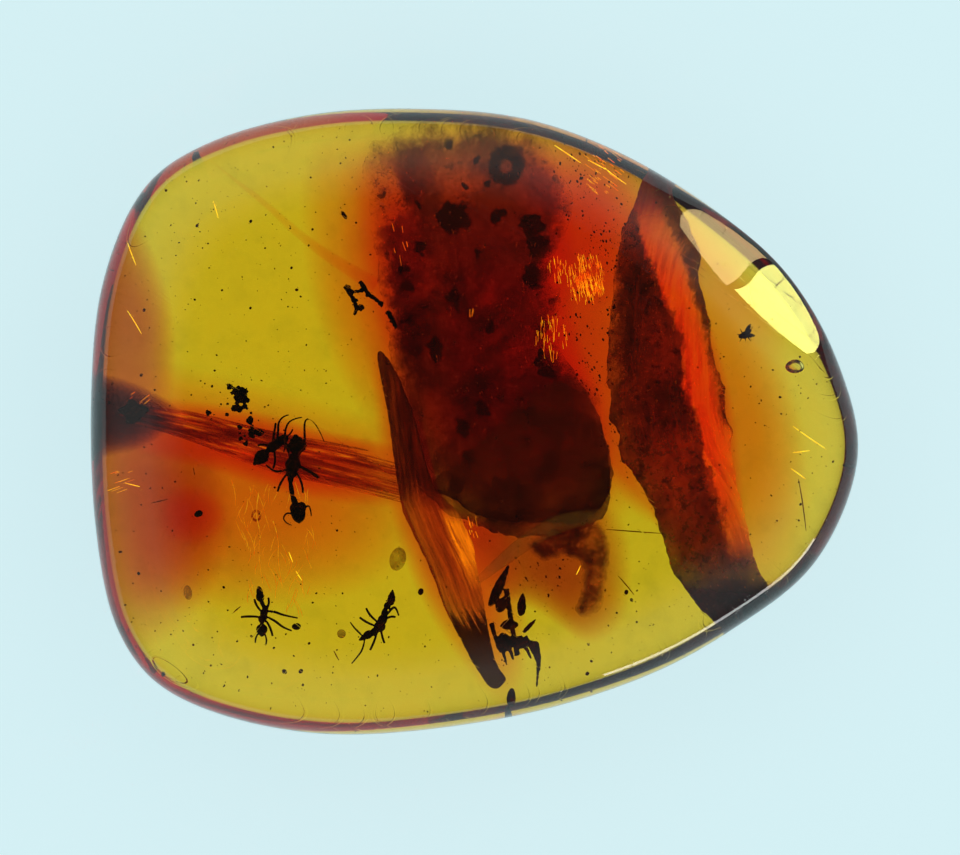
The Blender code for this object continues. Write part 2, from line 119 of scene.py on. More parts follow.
def apply_modifier(piece, kind, **settings):
    modifier = piece.modifiers.new(kind.lower(), kind)
    for setting, value in settings.items():
        setattr(modifier, setting, value)
    only(piece)
    bpy.ops.object.modifier_apply(modifier=modifier.name)


def face_outwards(piece):
    edit(piece)
    bpy.ops.mesh.remove_doubles(threshold=0.0001)
    bpy.ops.mesh.normals_make_consistent(inside=False)
    leave()


def set_down(piece):
    """Puts an object's place, turn and size into its mesh."""
    only(piece)
    bpy.ops.object.transform_apply(location=True, rotation=True, scale=True)
    return piece


def joined(name, pieces):
    """One object from several, each keeping its own closed surface."""
    deselect()
    for piece in pieces:
        piece.select_set(True)
    bpy.context.view_layer.objects.active = pieces[0]
    if len(pieces) > 1:
        bpy.ops.object.join()
    return named(name)


def fuse(piece, cell, smoothing=2):
    """Melts overlapping closed shapes into one skin of small even faces."""
    apply_modifier(piece, "REMESH", mode="VOXEL", voxel_size=cell)
    if smoothing:
        apply_modifier(piece, "SMOOTH", factor=0.5, iterations=smoothing)
    return piece


def roughen(piece, size, height, depth=2):
    """Raises and sinks the surface by a cloudy relief with lumps of the given size."""
    clouds = bpy.data.textures.new("relief", "CLOUDS")
    clouds.noise_scale = size
    clouds.noise_depth = depth
    apply_modifier(
        piece, "DISPLACE", texture=clouds, texture_coords="LOCAL", strength=height, mid_level=0.5
    )
    return piece


def settle(piece, stuff, slot, *nodes, hollow=False):
    """Finishes a piece: to metres, smooth, dressed, riding on the pebble and standing for its CAD nodes."""
    if not hollow:
        face_outwards(piece)
    piece.scale = (MM, MM, MM)
    set_down(piece)
    bpy.ops.object.shade_smooth()
    piece.data.materials.clear()
    piece.data.materials.append(stuff)
    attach(piece, "root")
    if nodes:
        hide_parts(*nodes)
    return piece


def closed_spline(points, count):
    """Evenly counted points on a smooth closed curve through the given points."""
    given = [Vector(point) for point in points]
    curve = []
    for step in range(count):
        place = step * len(given) / count
        start = int(place)
        t = place - start
        a, b, c, d = (given[(start + k) % len(given)] for k in (-1, 0, 1, 2))
        curve.append(
            0.5 * (2 * b + (c - a) * t + (2 * a - 5 * b + 4 * c - d) * t**2 + (3 * b - a - 3 * c + d) * t**3)
        )
    return curve


def side_at(points, y):
    """Where a side, given by points from its top down, crosses the level y."""
    for (x1, y1), (x2, y2) in zip(points, points[1:]):
        if y >= y2:
            return x1 + (x2 - x1) * (y1 - y) / (y1 - y2)
    return points[-1][0]


# ---------------------------------------------------------------- simple bodies
def place_at(piece, centre, size, turn):
    """Sizes an object, turns it about Z by so many degrees, moves it, and sets it down."""
    piece.scale = size
    piece.rotation_euler = (0, 0, math.radians(turn))
    piece.location = centre
    return set_down(piece)


def ball(centre, half, turn=0, tip=0.0, segments=18, rings=12):
    """A rounded body with the given half sizes. Its far end along its own Y is drawn in by the share tip."""
    bpy.ops.mesh.primitive_uv_sphere_add(segments=segments, ring_count=rings, radius=1)
    piece = bpy.context.active_object
    for vertex in piece.data.vertices:
        narrowed = 1 - tip * (1 + vertex.co.y) / 2
        vertex.co.x *= narrowed
        vertex.co.z *= narrowed
    return place_at(piece, centre, half, turn)


def pebble(centre, half, turn=0, cuts=1):
    """A low lump with few faces."""
    bpy.ops.mesh.primitive_ico_sphere_add(subdivisions=cuts, radius=1)
    piece = bpy.context.active_object
    return place_at(piece, centre, half, turn)


def scatter(model, places):
    """Copies of a model lump, each with its own mesh, a centre, a size along each axis and a turn."""
    copies = []
    for centre, size, turn in places:
        copy = model.copy()
        copy.data = model.data.copy()
        copy.data.transform(Matrix.LocRotScale(Vector(centre), Euler((0, 0, turn)), Vector(size)))
        bpy.context.scene.collection.objects.link(copy)
        copies.append(copy)
    bpy.data.objects.remove(model)
    return copies


def stem(path, radii, flat=1.0, fineness=1, curl=3):
    """A closed strand along a path, with a radius at each point. Flat squashes it in Z about its middle."""
    curve = bpy.data.curves.new("stem", "CURVE")
    curve.dimensions = "3D"
    curve.bevel_depth = 1
    curve.bevel_resolution = fineness
    curve.use_fill_caps = True
    curve.resolution_u = curl
    spline = curve.splines.new("NURBS")
    spline.points.add(len(path) - 1)
    for point, place, radius in zip(spline.points, path, radii):
        point.co = (*place, 1)
        point.radius = radius
    spline.order_u = min(3, len(path))
    spline.use_endpoint_u = True
    piece = bpy.data.objects.new("stem", curve)
    bpy.context.scene.collection.objects.link(piece)
    only(piece)
    bpy.ops.object.convert(target="MESH")
    piece = bpy.context.active_object
    if flat != 1:
        middle = sum(place[2] for place in path) / len(path)
        for vertex in piece.data.vertices:
            vertex.co.z = middle + (vertex.co.z - middle) * flat
    edit(piece)
    bpy.ops.mesh.remove_doubles(threshold=0.0001)
    leave()
    return piece


def taper(radius, count, end=0.5):
    return [radius * (1 - (1 - end) * k / (count - 1)) for k in range(count)]


def ragged_outline(outline, count, rag, size, seed):
    """A closed outline whose edge wanders in and out by up to rag, in bites of the given size."""
    middle = sum((Vector(point) for point in outline), Vector((0, 0))) / len(outline)
    edge = []
    for point in closed_spline(outline, count):
        away = (point - middle).normalized()
        bite = noise.noise(Vector((point.x / size, point.y / size, seed)))
        nick = noise.noise(Vector((4 * point.x / size, 4 * point.y / size, seed + 5)))
        edge.append(point + away * rag * (bite + 0.45 * nick))
    return edge


def plate(name, outline, middle_z, tilt, thickness, rag, cell, seed=0.0):
    """A flat scrap cut to a ragged outline, with the plane of its middle tilted per mm along X and Y."""
    edge = ragged_outline(outline, 12 * len(outline), rag, 1.1, seed)
    bpy.ops.mesh.primitive_circle_add(vertices=len(edge), radius=1, fill_type="NGON")
    piece = named(name)
    for vertex, point in zip(piece.data.vertices, edge):
        vertex.co = (point.x, point.y, middle_z - thickness / 2)
    edit(piece)
    bpy.ops.mesh.extrude_region_move(TRANSFORM_OT_translate={"value": (0, 0, thickness)})
    bpy.ops.mesh.select_all(action="SELECT")
    bpy.ops.mesh.normals_make_consistent(inside=False)
    leave()
    fuse(piece, cell, 4)
    store_edge(piece, edge)
    middle = sum(edge, Vector((0, 0))) / len(edge)
    for vertex in piece.data.vertices:
        vertex.co.z += tilt[0] * (vertex.co.x - middle.x) + tilt[1] * (vertex.co.y - middle.y)
    return piece


def store_edge(piece, outline):
    """Stores how far each point lies from the outline, in mm."""
    tree = kdtree.KDTree(len(outline))
    for k, point in enumerate(outline):
        tree.insert((point.x, point.y, 0), k)
    tree.balance()
    near = piece.data.attributes.new("edge", "FLOAT", "POINT")
    for vertex, slot in zip(piece.data.vertices, near.data):
        slot.value = tree.find((vertex.co.x, vertex.co.y, 0))[2]


def lay_grain(piece, left, right):
    """Stores how far each point lies from a band's left side in mm, its share of the width and its level."""
    lay = piece.data.attributes.new("lay", "FLOAT_VECTOR", "POINT")
    for vertex, slot in zip(piece.data.vertices, lay.data):
        x, y, z = vertex.co
        start, end = side_at(left, y), side_at(right, y)
        slot.vector = (x - start, (x - start) / (end - start), y)
    return piece


# ---------------------------------------------------------------- materials
SEALED_SHINE = 0.06


def new_material(name):
    """A material with one Principled shader, and its node tree."""
    stuff = bpy.data.materials.new(name)
    stuff.use_nodes = True
    stuff.use_transparent_shadow = False
    shader_of(stuff).inputs["Specular IOR Level"].default_value = SEALED_SHINE
    return stuff, stuff.node_tree


def shader_of(stuff):
    return stuff.node_tree.nodes["Principled BSDF"]


def feed(tree, socket, value):
    """Links a socket, or gives it a value."""
    if isinstance(value, bpy.types.NodeSocket):
        tree.links.new(value, socket)
    else:
        socket.default_value = value


def add(tree, kind, settings=None, **properties):
    """Adds a node. Settings are input values or the sockets that feed them."""
    node = tree.nodes.new(kind)
    for name, value in properties.items():
        setattr(node, name, value)
    for name, value in (settings or {}).items():
        feed(tree, node.inputs[name], value)
    return node


def place_on(tree, stretch=(1, 1, 1), turn=0):
    """Object coordinates in millimetres, turned about Z and stretched."""
    where = add(tree, "ShaderNodeTexCoord").outputs["Object"]
    turned = add(tree, "ShaderNodeMapping", {"Vector": where, "Rotation": (0, 0, math.radians(turn))})
    scale = [factor / MM for factor in stretch]
    return add(tree, "ShaderNodeMapping", {"Vector": turned.outputs[0], "Scale": scale}).outputs[0]


def split(tree, vector):
    """The x, y and z of a vector."""
    return add(tree, "ShaderNodeSeparateXYZ", {"Vector": vector}).outputs


def stored(tree, name, output="Fac"):
    """A measure that a builder left on the points of its mesh."""
    return add(tree, "ShaderNodeAttribute", attribute_name=name).outputs[output]


def lay_on(tree, stretch):
    """The place along and across a band, as lay_grain stores it, stretched."""
    return add(
        tree, "ShaderNodeMapping", {"Vector": stored(tree, "lay", "Vector"), "Scale": stretch}
    ).outputs[0]


def lay_parts(tree):
    """The share of a band's width and the level along it."""
    return split(tree, stored(tree, "lay", "Vector"))[1:3]


def edge_of(tree, inner, rag=0.5):
    """1 at the outline of a plate, falling to 0 raggedly at a depth of inner mm, as store_edge keeps it."""
    wander = level(tree, grain(tree, place_on(tree), 1.6, 5, 0.65), 0.3, 0.7, -rag, rag)
    return level(tree, plus(tree, stored(tree, "edge"), wander), inner, 0.0)


def grain(tree, where, scale, detail=4, roughness=0.55, distortion=0):
    settings = {
        "Vector": where, "Scale": scale, "Detail": detail, "Roughness": roughness,
        "Distortion": distortion
    }
    return add(tree, "ShaderNodeTexNoise", settings).outputs[0]


def ramp(tree, fac, *stops):
    """A colour ramp through stops of a place and a colour."""
    node = add(tree, "ShaderNodeValToRGB", {"Fac": fac})
    points = node.color_ramp.elements
    while len(points) < len(stops):
        points.new(0.5)
    for point, (place, colour) in zip(points, stops):
        point.position = place
        point.color = (*colour, 1)
    return node.outputs[0]


def level(tree, fac, low, high, start=0.0, end=1.0):
    settings = {"Value": fac, "From Min": low, "From Max": high, "To Min": start, "To Max": end}
    return add(tree, "ShaderNodeMapRange", settings).outputs[0]


def blend(tree, fac, first, second):
    """From the first colour to the second as fac goes from 0 to 1."""
    node = add(tree, "ShaderNodeMix", data_type="RGBA")
    for socket, value in zip((node.inputs[0], node.inputs[6], node.inputs[7]), (fac, first, second)):
        plain = isinstance(value, (bpy.types.NodeSocket, int, float))
        feed(tree, socket, value if plain else (*value, 1))
    return node.outputs[2]


def combine(tree, operation, first, *others):
    """Works values or sockets together, two at a time from the left."""
    for other in others:
        node = add(tree, "ShaderNodeMath", {0: first, 1: other}, operation=operation)
        first = node.outputs[0]
    return first


def times(tree, *values):
    return combine(tree, "MULTIPLY", *values)


def plus(tree, *values):
    return combine(tree, "ADD", *values)


def less(tree, first, second):
    return combine(tree, "SUBTRACT", first, second)


def most(tree, *values):
    return combine(tree, "MAXIMUM", *values)


def rest_of(tree, share):
    return less(tree, 1.0, share)


def distance(tree, where, spot):
    return add(tree, "ShaderNodeVectorMath", {0: where, 1: spot}, operation="DISTANCE").outputs["Value"]


def blots(tree, places, rag, size):
    """How far each point lies within any of some ragged spots, each an x, a y and a radius in mm."""
    where = place_on(tree, (1, 1, 0))
    wander = add(tree, "ShaderNodeTexNoise", {"Vector": where, "Scale": size, "Detail": 3}).outputs["Color"]
    off = add(
        tree, "ShaderNodeVectorMath", {0: wander, 1: (0.5, 0.5, 0.5)}, operation="SUBTRACT"
    ).outputs[0]
    settings = {0: off, 1: (4 * rag, 4 * rag, 0), 2: where}
    moved = add(tree, "ShaderNodeVectorMath", settings, operation="MULTIPLY_ADD").outputs[0]
    return most(
        tree,
        *(level(tree, distance(tree, moved, (x, y, 0)), radius, 0.4 * radius) for x, y, radius in places)
    )


def shaped_by(tree, soft, rough, low, high):
    """A soft spot made ragged: where the spot and a roughness together pass from low to high."""
    return level(tree, plus(tree, soft, rough), low, high)


def relief(stuff, height, strength, depth):
    """Roughens the shading by a height, over a depth in mm."""
    settings = {"Height": height, "Strength": strength, "Distance": depth * MM}
    bumped = add(stuff.node_tree, "ShaderNodeBump", settings)
    feed(stuff.node_tree, shader_of(stuff).inputs["Normal"], bumped.outputs[0])


def dress(stuff, colour, roughness, alpha=None, glow=None, strength=None):
    """Gives a material its colour and roughness and, where they are given, its opacity and its own glow."""
    names = ("Base Color", "Roughness", "Alpha", "Emission Color", "Emission Strength")
    for name, value in zip(names, (colour, roughness, alpha, glow, strength)):
        if value is not None:
            feed(stuff.node_tree, shader_of(stuff).inputs[name], value)
    if glow is not None:
        stuff.cycles.emission_sampling = "NONE"
    return stuff


def fill(stuff, tint, index, colour, density):
    """Makes a material clear all through, with a medium that takes up light."""
    medium = add(stuff.node_tree, "ShaderNodeVolumeAbsorption", {"Color": (*colour, 1), "Density": density})
    feed(stuff.node_tree, stuff.node_tree.nodes["Material Output"].inputs["Volume"], medium.outputs[0])
    shader_of(stuff).inputs["Transmission Weight"].default_value = 1
    shader_of(stuff).inputs["IOR"].default_value = index
    return dress(stuff, tint, 0)


def clear_resin():
    """Polished resin, with hair-fine scratches and a slight unevenness left by tumbling."""
    stuff, tree = new_material("clear_resin")
    swirl = plus(tree, grain(tree, place_on(tree), 0.22, 3, 0.6, 1.5), grain(tree, place_on(tree), 1.1, 3))
    tint = ramp(
        tree, level(tree, swirl, 0.7, 1.3), (0, (1, 0.97, 0.9)), (0.5, (1, 1, 1)),
        (1, (0.86, 0.88, 0.9))
    )
    shader_of(stuff).inputs["Specular IOR Level"].default_value = POLISHED_SHINE
    scratches = []
    for turn, rarity in ((35, 0.66), (-50, 0.7)):
        lines = grain(tree, place_on(tree, (0.15, 6, 1), turn), 1.0, 1, 0.4)
        scratches.append(level(tree, lines, rarity, rarity + 0.02))
    swell = times(tree, grain(tree, place_on(tree), 0.25, 1), 12)
    relief(stuff, less(tree, swell, plus(tree, *scratches)), 0.3, 0.004)
    return fill(stuff, tint, AMBER_IOR, RESIN_COLOUR, RESIN_DENSITY)


POLISHED_SHINE = 0.4
AMBER_IOR = 1.54
RESIN_COLOUR = (0.976, 0.86, 0.03)
RESIN_DENSITY = 620


def tinted_resin(name, colour, density):
    """Resin of a deeper colour, clear and with no surface of its own."""
    stuff, tree = new_material(name)
    tint = ramp(tree, grain(tree, place_on(tree), 0.4, 2), (0.4, (1, 1, 1)), (0.6, (1, 0.99, 0.98)))
    return fill(stuff, tint, 1.0, colour, density)


def matt_stuff(name, dark, middle, light, scale, roughness):
    """A dull natural stuff in three tones, broken up by a grain that also roughens its surface."""
    stuff, tree = new_material(name)
    where = place_on(tree)
    relief(stuff, grain(tree, where, 3 * scale, 4), 0.6, 0.04)
    tone = ramp(tree, grain(tree, where, scale, 6, 0.6), (0.35, dark), (0.52, middle), (0.68, light))
    return dress(stuff, tone, roughness)


def ant_cuticle():
    """Dark glossy cuticle, mottled browner in patches."""
    stuff, tree = new_material("ant_cuticle")
    mottle = grain(tree, place_on(tree), 2.2, 4)
    brown = ramp(
        tree, mottle, (0.38, (0.004, 0.0015, 0.001)), (0.55, (0.014, 0.004, 0.0015)),
        (0.7, (0.06, 0.014, 0.003))
    )
    relief(stuff, grain(tree, place_on(tree), 14, 2), 0.4, 0.01)
    return dress(stuff, brown, level(tree, grain(tree, place_on(tree), 9, 3), 0.3, 0.7, 0.25, 0.5))


def bark_stuff():
    """Old bark soaked in resin: a red film that lets light through, blotched with dark rot and flecked with
    painted orange glints.
    """
    stuff, tree = new_material("bark_slab")
    where = place_on(tree)
    height = split(tree, where)[1]
    broad = grain(tree, place_on(tree, (1, 0.8, 1), 12), 0.5, 6, 0.68, 0.5)
    fine = grain(tree, where, 1.5, 7, 0.75)
    upper = ramp(
        tree, broad, (0.35, (0.2, 0.01, 0.01)), (0.5, (0.5, 0.03, 0.015)), (0.65, (0.8, 0.08, 0.02))
    )
    lower = ramp(
        tree, broad, (0.35, (0.08, 0.006, 0.015)), (0.5, (0.2, 0.016, 0.03)),
        (0.65, (0.4, 0.03, 0.035))
    )
    tone = blend(tree, level(tree, height, 4.5, 9.5), lower, upper)
    rot = shaped_by(tree, blots(tree, SLAB_ROT, 0.3, 1.3), times(tree, fine, 1.8), 1.0, 1.45)
    ring_off = less(tree, distance(tree, place_on(tree, (1, 1, 0)), SLAB_RING), SLAB_RING_RADIUS)
    ring_off = level(tree, combine(tree, "ABSOLUTE", ring_off, 0.5), 0.42, 0.05)
    ring = shaped_by(tree, ring_off, times(tree, fine, 1.8), 1.0, 1.5)
    pits = level(tree, grain(tree, where, 1.7, 6, 0.78), 0.51, 0.6)
    mottle = level(tree, grain(tree, where, 4.5, 4, 0.7), 0.5, 0.66)
    dense = shaped_by(tree, blots(tree, SLAB_DENSE, 0.5, 0.7), fine, 0.5, 1.1)
    dark = most(tree, rot, ring, times(tree, pits, 0.8), times(tree, dense, 0.7), times(tree, mottle, 0.6))
    tone = blend(tree, dark, tone, (0.02, 0.004, 0.008))
    # Painted glints: orange flecks where the bark's cracks catch the light.
    flecks = level(tree, grain(tree, place_on(tree, (1.6, 0.5, 1), -8), 4.5, 3, 0.7), 0.66, 0.7)
    tone = blend(tree, times(tree, flecks, 0.35), tone, (1.0, 0.2, 0.01))
    film = plus(tree, level(tree, broad, 0.62, 0.38, 0.34, 0.72), level(tree, height, 9.5, 5.0, 0, 0.16))
    thin = times(tree, shaped_by(tree, blots(tree, SLAB_THIN, 0.3, 1.0), fine, 0.6, 1.0), 0.75)
    film = most(tree, times(tree, film, rest_of(tree, thin)), times(tree, dark, 0.84))
    frayed = times(tree, edge_of(tree, 0.65, 0.4), level(tree, height, -0.5, 3.5, 0.25, 1.0))
    relief(stuff, grain(tree, where, 2.4, 3, 0.65), 0.7, 0.12)
    return dress(stuff, tone, 0.6, times(tree, film, rest_of(tree, frayed)))


SLAB_RING = (1.17, 9.78, 0)
SLAB_RING_RADIUS = 0.45
SLAB_ROT = (
    (1.67, 10.91, 0.34), (0.03, 9.96, 0.19), (-0.92, 10.46, 0.19), (-0.51, 9.12, 0.19), (0.41, 9.2, 0.24),
    (-2.31, 8.36, 0.19), (-3.63, 8.78, 0.19), (3.05, 9.2, 0.24), (4.2, 8.62, 0.48), (3.55, 8.2, 0.34),
    (4.31, 8.02, 0.29), (0.83, 7.86, 0.43), (-1.0, 7.94, 0.96), (2.21, 7.55, 0.62), (3.51, 7.4, 0.48),
    (2.44, 6.78, 0.67), (2.44, 5.72, 0.72), (-0.01, 6.48, 0.29), (-2.15, 6.79, 0.38), (-3.45, 6.42, 0.29),
    (-2.95, 6.02, 0.43), (-2.68, 5.18, 0.34), (-0.92, 4.88, 0.43), (3.05, 4.58, 0.34), (0.51, 3.76, 0.24),
    (-1.55, 2.94, 0.53), (2.77, 1.92, 0.38), (3.64, 1.74, 0.38), (4.33, 2.26, 0.34), (2.53, 2.42, 0.38),
    (2.17, 0.42, 0.34), (-0.47, -0.22, 0.48), (0.21, 0.46, 0.38), (-0.31, -1.34, 0.43),
    (0.89, -2.66, 0.58), (-0.75, -2.62, 0.43),
)
SLAB_DENSE = (
    (0.6, 7.0, 2.6), (2.3, 6.4, 1.6), (-1.2, 7.6, 1.6), (-1.5, 2.6, 1.8), (0.5, 0.2, 2.6), (3.2, 1.2, 1.8),
    (3.6, -2.4, 1.8), (0.8, -2.8, 1.8),
)
SLAB_THIN = (
    (4.3, 10.2, 1.7), (3.6, 5.4, 1.2), (3.2, 3.4, 0.8), (-3.8, 8.6, 1.2),
)


def flake_stuff():
    """A thin dark flake, purple-brown, with a darker rim."""
    stuff, tree = new_material("bark_flake")
    where = place_on(tree, (0.8, 1.2, 1), -25)
    cloudy = grain(tree, where, 0.9, 8, 0.7)
    tone = ramp(
        tree, cloudy, (0.35, (0.06, 0.01, 0.02)), (0.5, (0.15, 0.02, 0.035)),
        (0.66, (0.32, 0.04, 0.05))
    )
    x, y, _ = split(tree, place_on(tree))
    right = most(
        tree, level(tree, less(tree, x, y), 4.5, 7.5, 0.2, 0.85), level(tree, y, -1.6, -2.6, 0.0, 0.8)
    )
    seam = times(tree, edge_of(tree, 0.7, 0.4), right)
    whole = rest_of(tree, times(tree, edge_of(tree, 0.4, 0.3), level(tree, right, 0.2, 0.5, 1, 0)))
    film = most(tree, level(tree, cloudy, 0.38, 0.62, 0.55, 0.15), seam)
    relief(stuff, grain(tree, where, 2.5, 5), 0.5, 0.06)
    return dress(stuff, blend(tree, seam, tone, (0.03, 0.003, 0.008)), 0.6, times(tree, film, whole))


def strip_stuff():
    """A fibrous band, rotten on its left, with a red seam down its right that lets the light through and
    glows with painted light, and painted orange glints along its grain.
    """
    stuff, tree = new_material("bark_strip")
    share, height = lay_parts(tree)
    streaks = grain(tree, lay_on(tree, (2.2, 0, 0.22)), 1.6, 6, 0.62)
    clumps = grain(tree, place_on(tree, (1, 0.7, 1), 10), 0.8, 8, 0.68)
    tone = ramp(
        tree, clumps, (0.36, (0.05, 0.004, 0.006)), (0.5, (0.22, 0.012, 0.012)),
        (0.64, (0.5, 0.03, 0.02))
    )
    paler = ramp(
        tree, clumps, (0.36, (0.12, 0.01, 0.03)), (0.5, (0.36, 0.028, 0.07)), (0.64, (0.65, 0.06, 0.1))
    )
    tone = blend(tree, level(tree, height, 0.5, -3.5), tone, paler)
    tone = blend(tree, level(tree, streaks, 0.5, 0.72, 0, 0.45), tone, (0.6, 0.05, 0.03))
    pits = level(tree, grain(tree, place_on(tree), 2.4, 8, 0.75), 0.5, 0.6)
    tone = blend(tree, times(tree, pits, 0.85), tone, (0.03, 0.003, 0.006))
    off = plus(tree, stored(tree, "seam"), level(tree, clumps, 0.35, 0.65, 0.32, -0.32))
    past = level(tree, off, 0.55, 0.85)
    inside = times(tree, level(tree, off, -0.54, -0.3), level(tree, height, -5.3, -3.9))
    # The seam's bright reds also feed the glow below: painted light standing in for light coming through the
    # seam.
    bright = ramp(
        tree, streaks, (0.35, (0.6, 0.014, 0.003)), (0.5, (0.95, 0.04, 0.004)),
        (0.68, (1.0, 0.16, 0.006))
    )
    bright = blend(tree, past, bright, (0.16, 0.006, 0.006))
    bright = blend(tree, level(tree, height, 6.6, 8.6, 0, 0.9), bright, (0.25, 0.01, 0.008))
    bright = blend(tree, level(tree, height, -1.8, -4.4, 0, 0.7), bright, (0.4, 0.05, 0.012))
    tone = blend(tree, inside, tone, bright)
    low = level(tree, height, -4.8, -6.6)
    tone = blend(tree, times(tree, low, 0.9), tone, (0.02, 0.003, 0.006))
    # Painted glints: orange sparks along the grain.
    sparks = level(tree, grain(tree, lay_on(tree, (3, 0, 0.6)), 5.0, 2, 0.7), 0.68, 0.73)
    tone = blend(tree, times(tree, sparks, 0.7), tone, (1.0, 0.3, 0.01))
    film = most(tree, level(tree, clumps, 0.62, 0.38, 0.62, 0.88), times(tree, pits, 0.92))
    left = times(tree, level(tree, plus(tree, share, clumps), 0.58, 0.44), level(tree, height, -0.2, 2.4))
    clear = times(tree, inside, level(tree, streaks, 0.34, 0.6, 0.6, 0.85))
    film = times(tree, film, rest_of(tree, left), rest_of(tree, clear))
    film = most(
        tree, film, level(tree, off, 0.55, 0.85, 0, 0.75), level(tree, height, 6.8, 8.2, 0, 0.8), low
    )
    # Painted glow on the seam, fading towards its top.
    lit = times(tree, inside, level(tree, off, 0.8, 0.45), level(tree, height, 8.5, 5.5, 0.15, 1.0))
    glow = times(tree, lit, level(tree, streaks, 0.36, 0.62, 0.45, 1.1))
    relief(stuff, plus(tree, streaks, clumps), 0.7, 0.1)
    return dress(stuff, tone, 0.55, film, bright, glow)


def blade_stuff():
    """A split of wood: dark above, a thin red-brown film below, a right side with a painted glow and a
    charred tip.
    """
    stuff, tree = new_material("wood_blade")
    share, height = lay_parts(tree)
    streaks = grain(tree, lay_on(tree, (3.2, 0, 0.25)), 1.8, 7, 0.65)
    tone = ramp(
        tree, streaks, (0.34, (0.2, 0.015, 0.02)), (0.5, (0.5, 0.045, 0.04)), (0.66, (0.8, 0.12, 0.06))
    )
    shade = ramp(
        tree, streaks, (0.34, (0.06, 0.006, 0.012)), (0.5, (0.14, 0.012, 0.018)),
        (0.68, (0.45, 0.04, 0.02))
    )
    upper = level(tree, height, -3.6, -2.2)
    tone = blend(tree, upper, tone, shade)
    right = level(tree, plus(tree, share, level(tree, streaks, 0.3, 0.7, -0.15, 0.15)), 0.6, 0.8)
    # Painted glow: a bright orange patch on the right side that also glows, standing in for light coming
    # through.
    glow = times(tree, level(tree, height, -6.6, -5.4), level(tree, height, -3.4, -4.0))
    glow = times(tree, right, glow)
    tone = blend(tree, glow, tone, (1.0, 0.45, 0.03))
    tip = level(tree, plus(tree, height, level(tree, streaks, 0.35, 0.65, -0.5, 0.5)), -7.2, -7.9)
    tone = blend(tree, times(tree, tip, 0.92), tone, (0.025, 0.004, 0.005))
    film = plus(tree, level(tree, streaks, 0.65, 0.35, 0.18, 0.46), times(tree, upper, 0.46))
    rim = level(tree, share, 0.1, 0.03, 0, 0.7)
    film = most(tree, film, times(tree, glow, 0.5), rim, times(tree, tip, 0.85))
    relief(stuff, streaks, 0.8, 0.1)
    strength = times(tree, glow, level(tree, streaks, 0.4, 0.6, 0.2, 1.0))
    return dress(stuff, tone, 0.5, film, (1.0, 0.3, 0.01, 1), strength)


def root_stuff():
    """Red root fibre that the light comes through, with painted orange and gold glints along it that also
    glow.
    """
    stuff, tree = new_material("root_fibre")
    streaks = grain(tree, place_on(tree, (0.25, 3, 3), 14), 1.6, 6, 0.65)
    reds = (0.36, (0.3, 0.01, 0.01)), (0.5, (0.9, 0.05, 0.02))
    # The glint stops are painted highlights in the fibre's colour.
    glints = (0.6, (1.0, 0.16, 0.02)), (0.7, (1.0, 0.6, 0.06))
    tone = ramp(tree, streaks, *reds, *glints)
    relief(stuff, streaks, 0.5, 0.05)
    # Where the streaks run bright, the colour also glows: a painted glow.
    film, glow = level(tree, streaks, 0.38, 0.62, 0.42, 0.3), level(tree, streaks, 0.52, 0.68, 0.02, 0.7)
    return dress(stuff, tone, 0.35, film, tone, glow)


def husk_stuff():
    """A soft brown-red husk, thinning out at its edges."""
    stuff, tree = new_material("husk")
    cloudy = grain(tree, place_on(tree), 1.4, 8, 0.7)
    tone = ramp(
        tree, cloudy, (0.36, (0.03, 0.003, 0.005)), (0.5, (0.2, 0.012, 0.012)),
        (0.64, (0.7, 0.07, 0.02))
    )
    film = times(tree, level(tree, cloudy, 0.62, 0.42, 0.3, 0.85), rest_of(tree, edge_of(tree, 0.3, 0.12)))
    relief(stuff, grain(tree, place_on(tree), 4, 4), 0.6, 0.04)
    return dress(stuff, tone, 0.5, film)


def glint_stuff(name, deep, pale, glow):
    """A gold splinter or crack with a painted glint: its colour also glows, standing in for the light it
    catches.
    """
    stuff, tree = new_material(name)
    tone = ramp(tree, grain(tree, place_on(tree), 3.0, 5), (0.38, deep), (0.62, pale))
    return dress(stuff, tone, 0.3, None, tone, glow)


def see_through_scrap(name, colour, opacity, scale):
    """A thin skin that lets much of the light past, thicker in patches."""
    stuff, tree = new_material(name)
    where = place_on(tree)
    pale = [min(1.0, 1.5 * part) for part in colour]
    tone = ramp(tree, grain(tree, where, scale, 4), (0.35, colour), (0.65, pale))
    patch = level(tree, grain(tree, where, scale / 2, 3), 0.35, 0.65, 0.5 * opacity, 1.3 * opacity)
    return dress(stuff, tone, 0.4, patch)


# ---------------------------------------------------------------- the stone
def soft_least(a, b, softness):
    """The smaller of two heights, rounded where they cross."""
    gap = a - b
    return 0.5 * (a + b - math.sqrt(gap * gap + 4 * softness * softness))


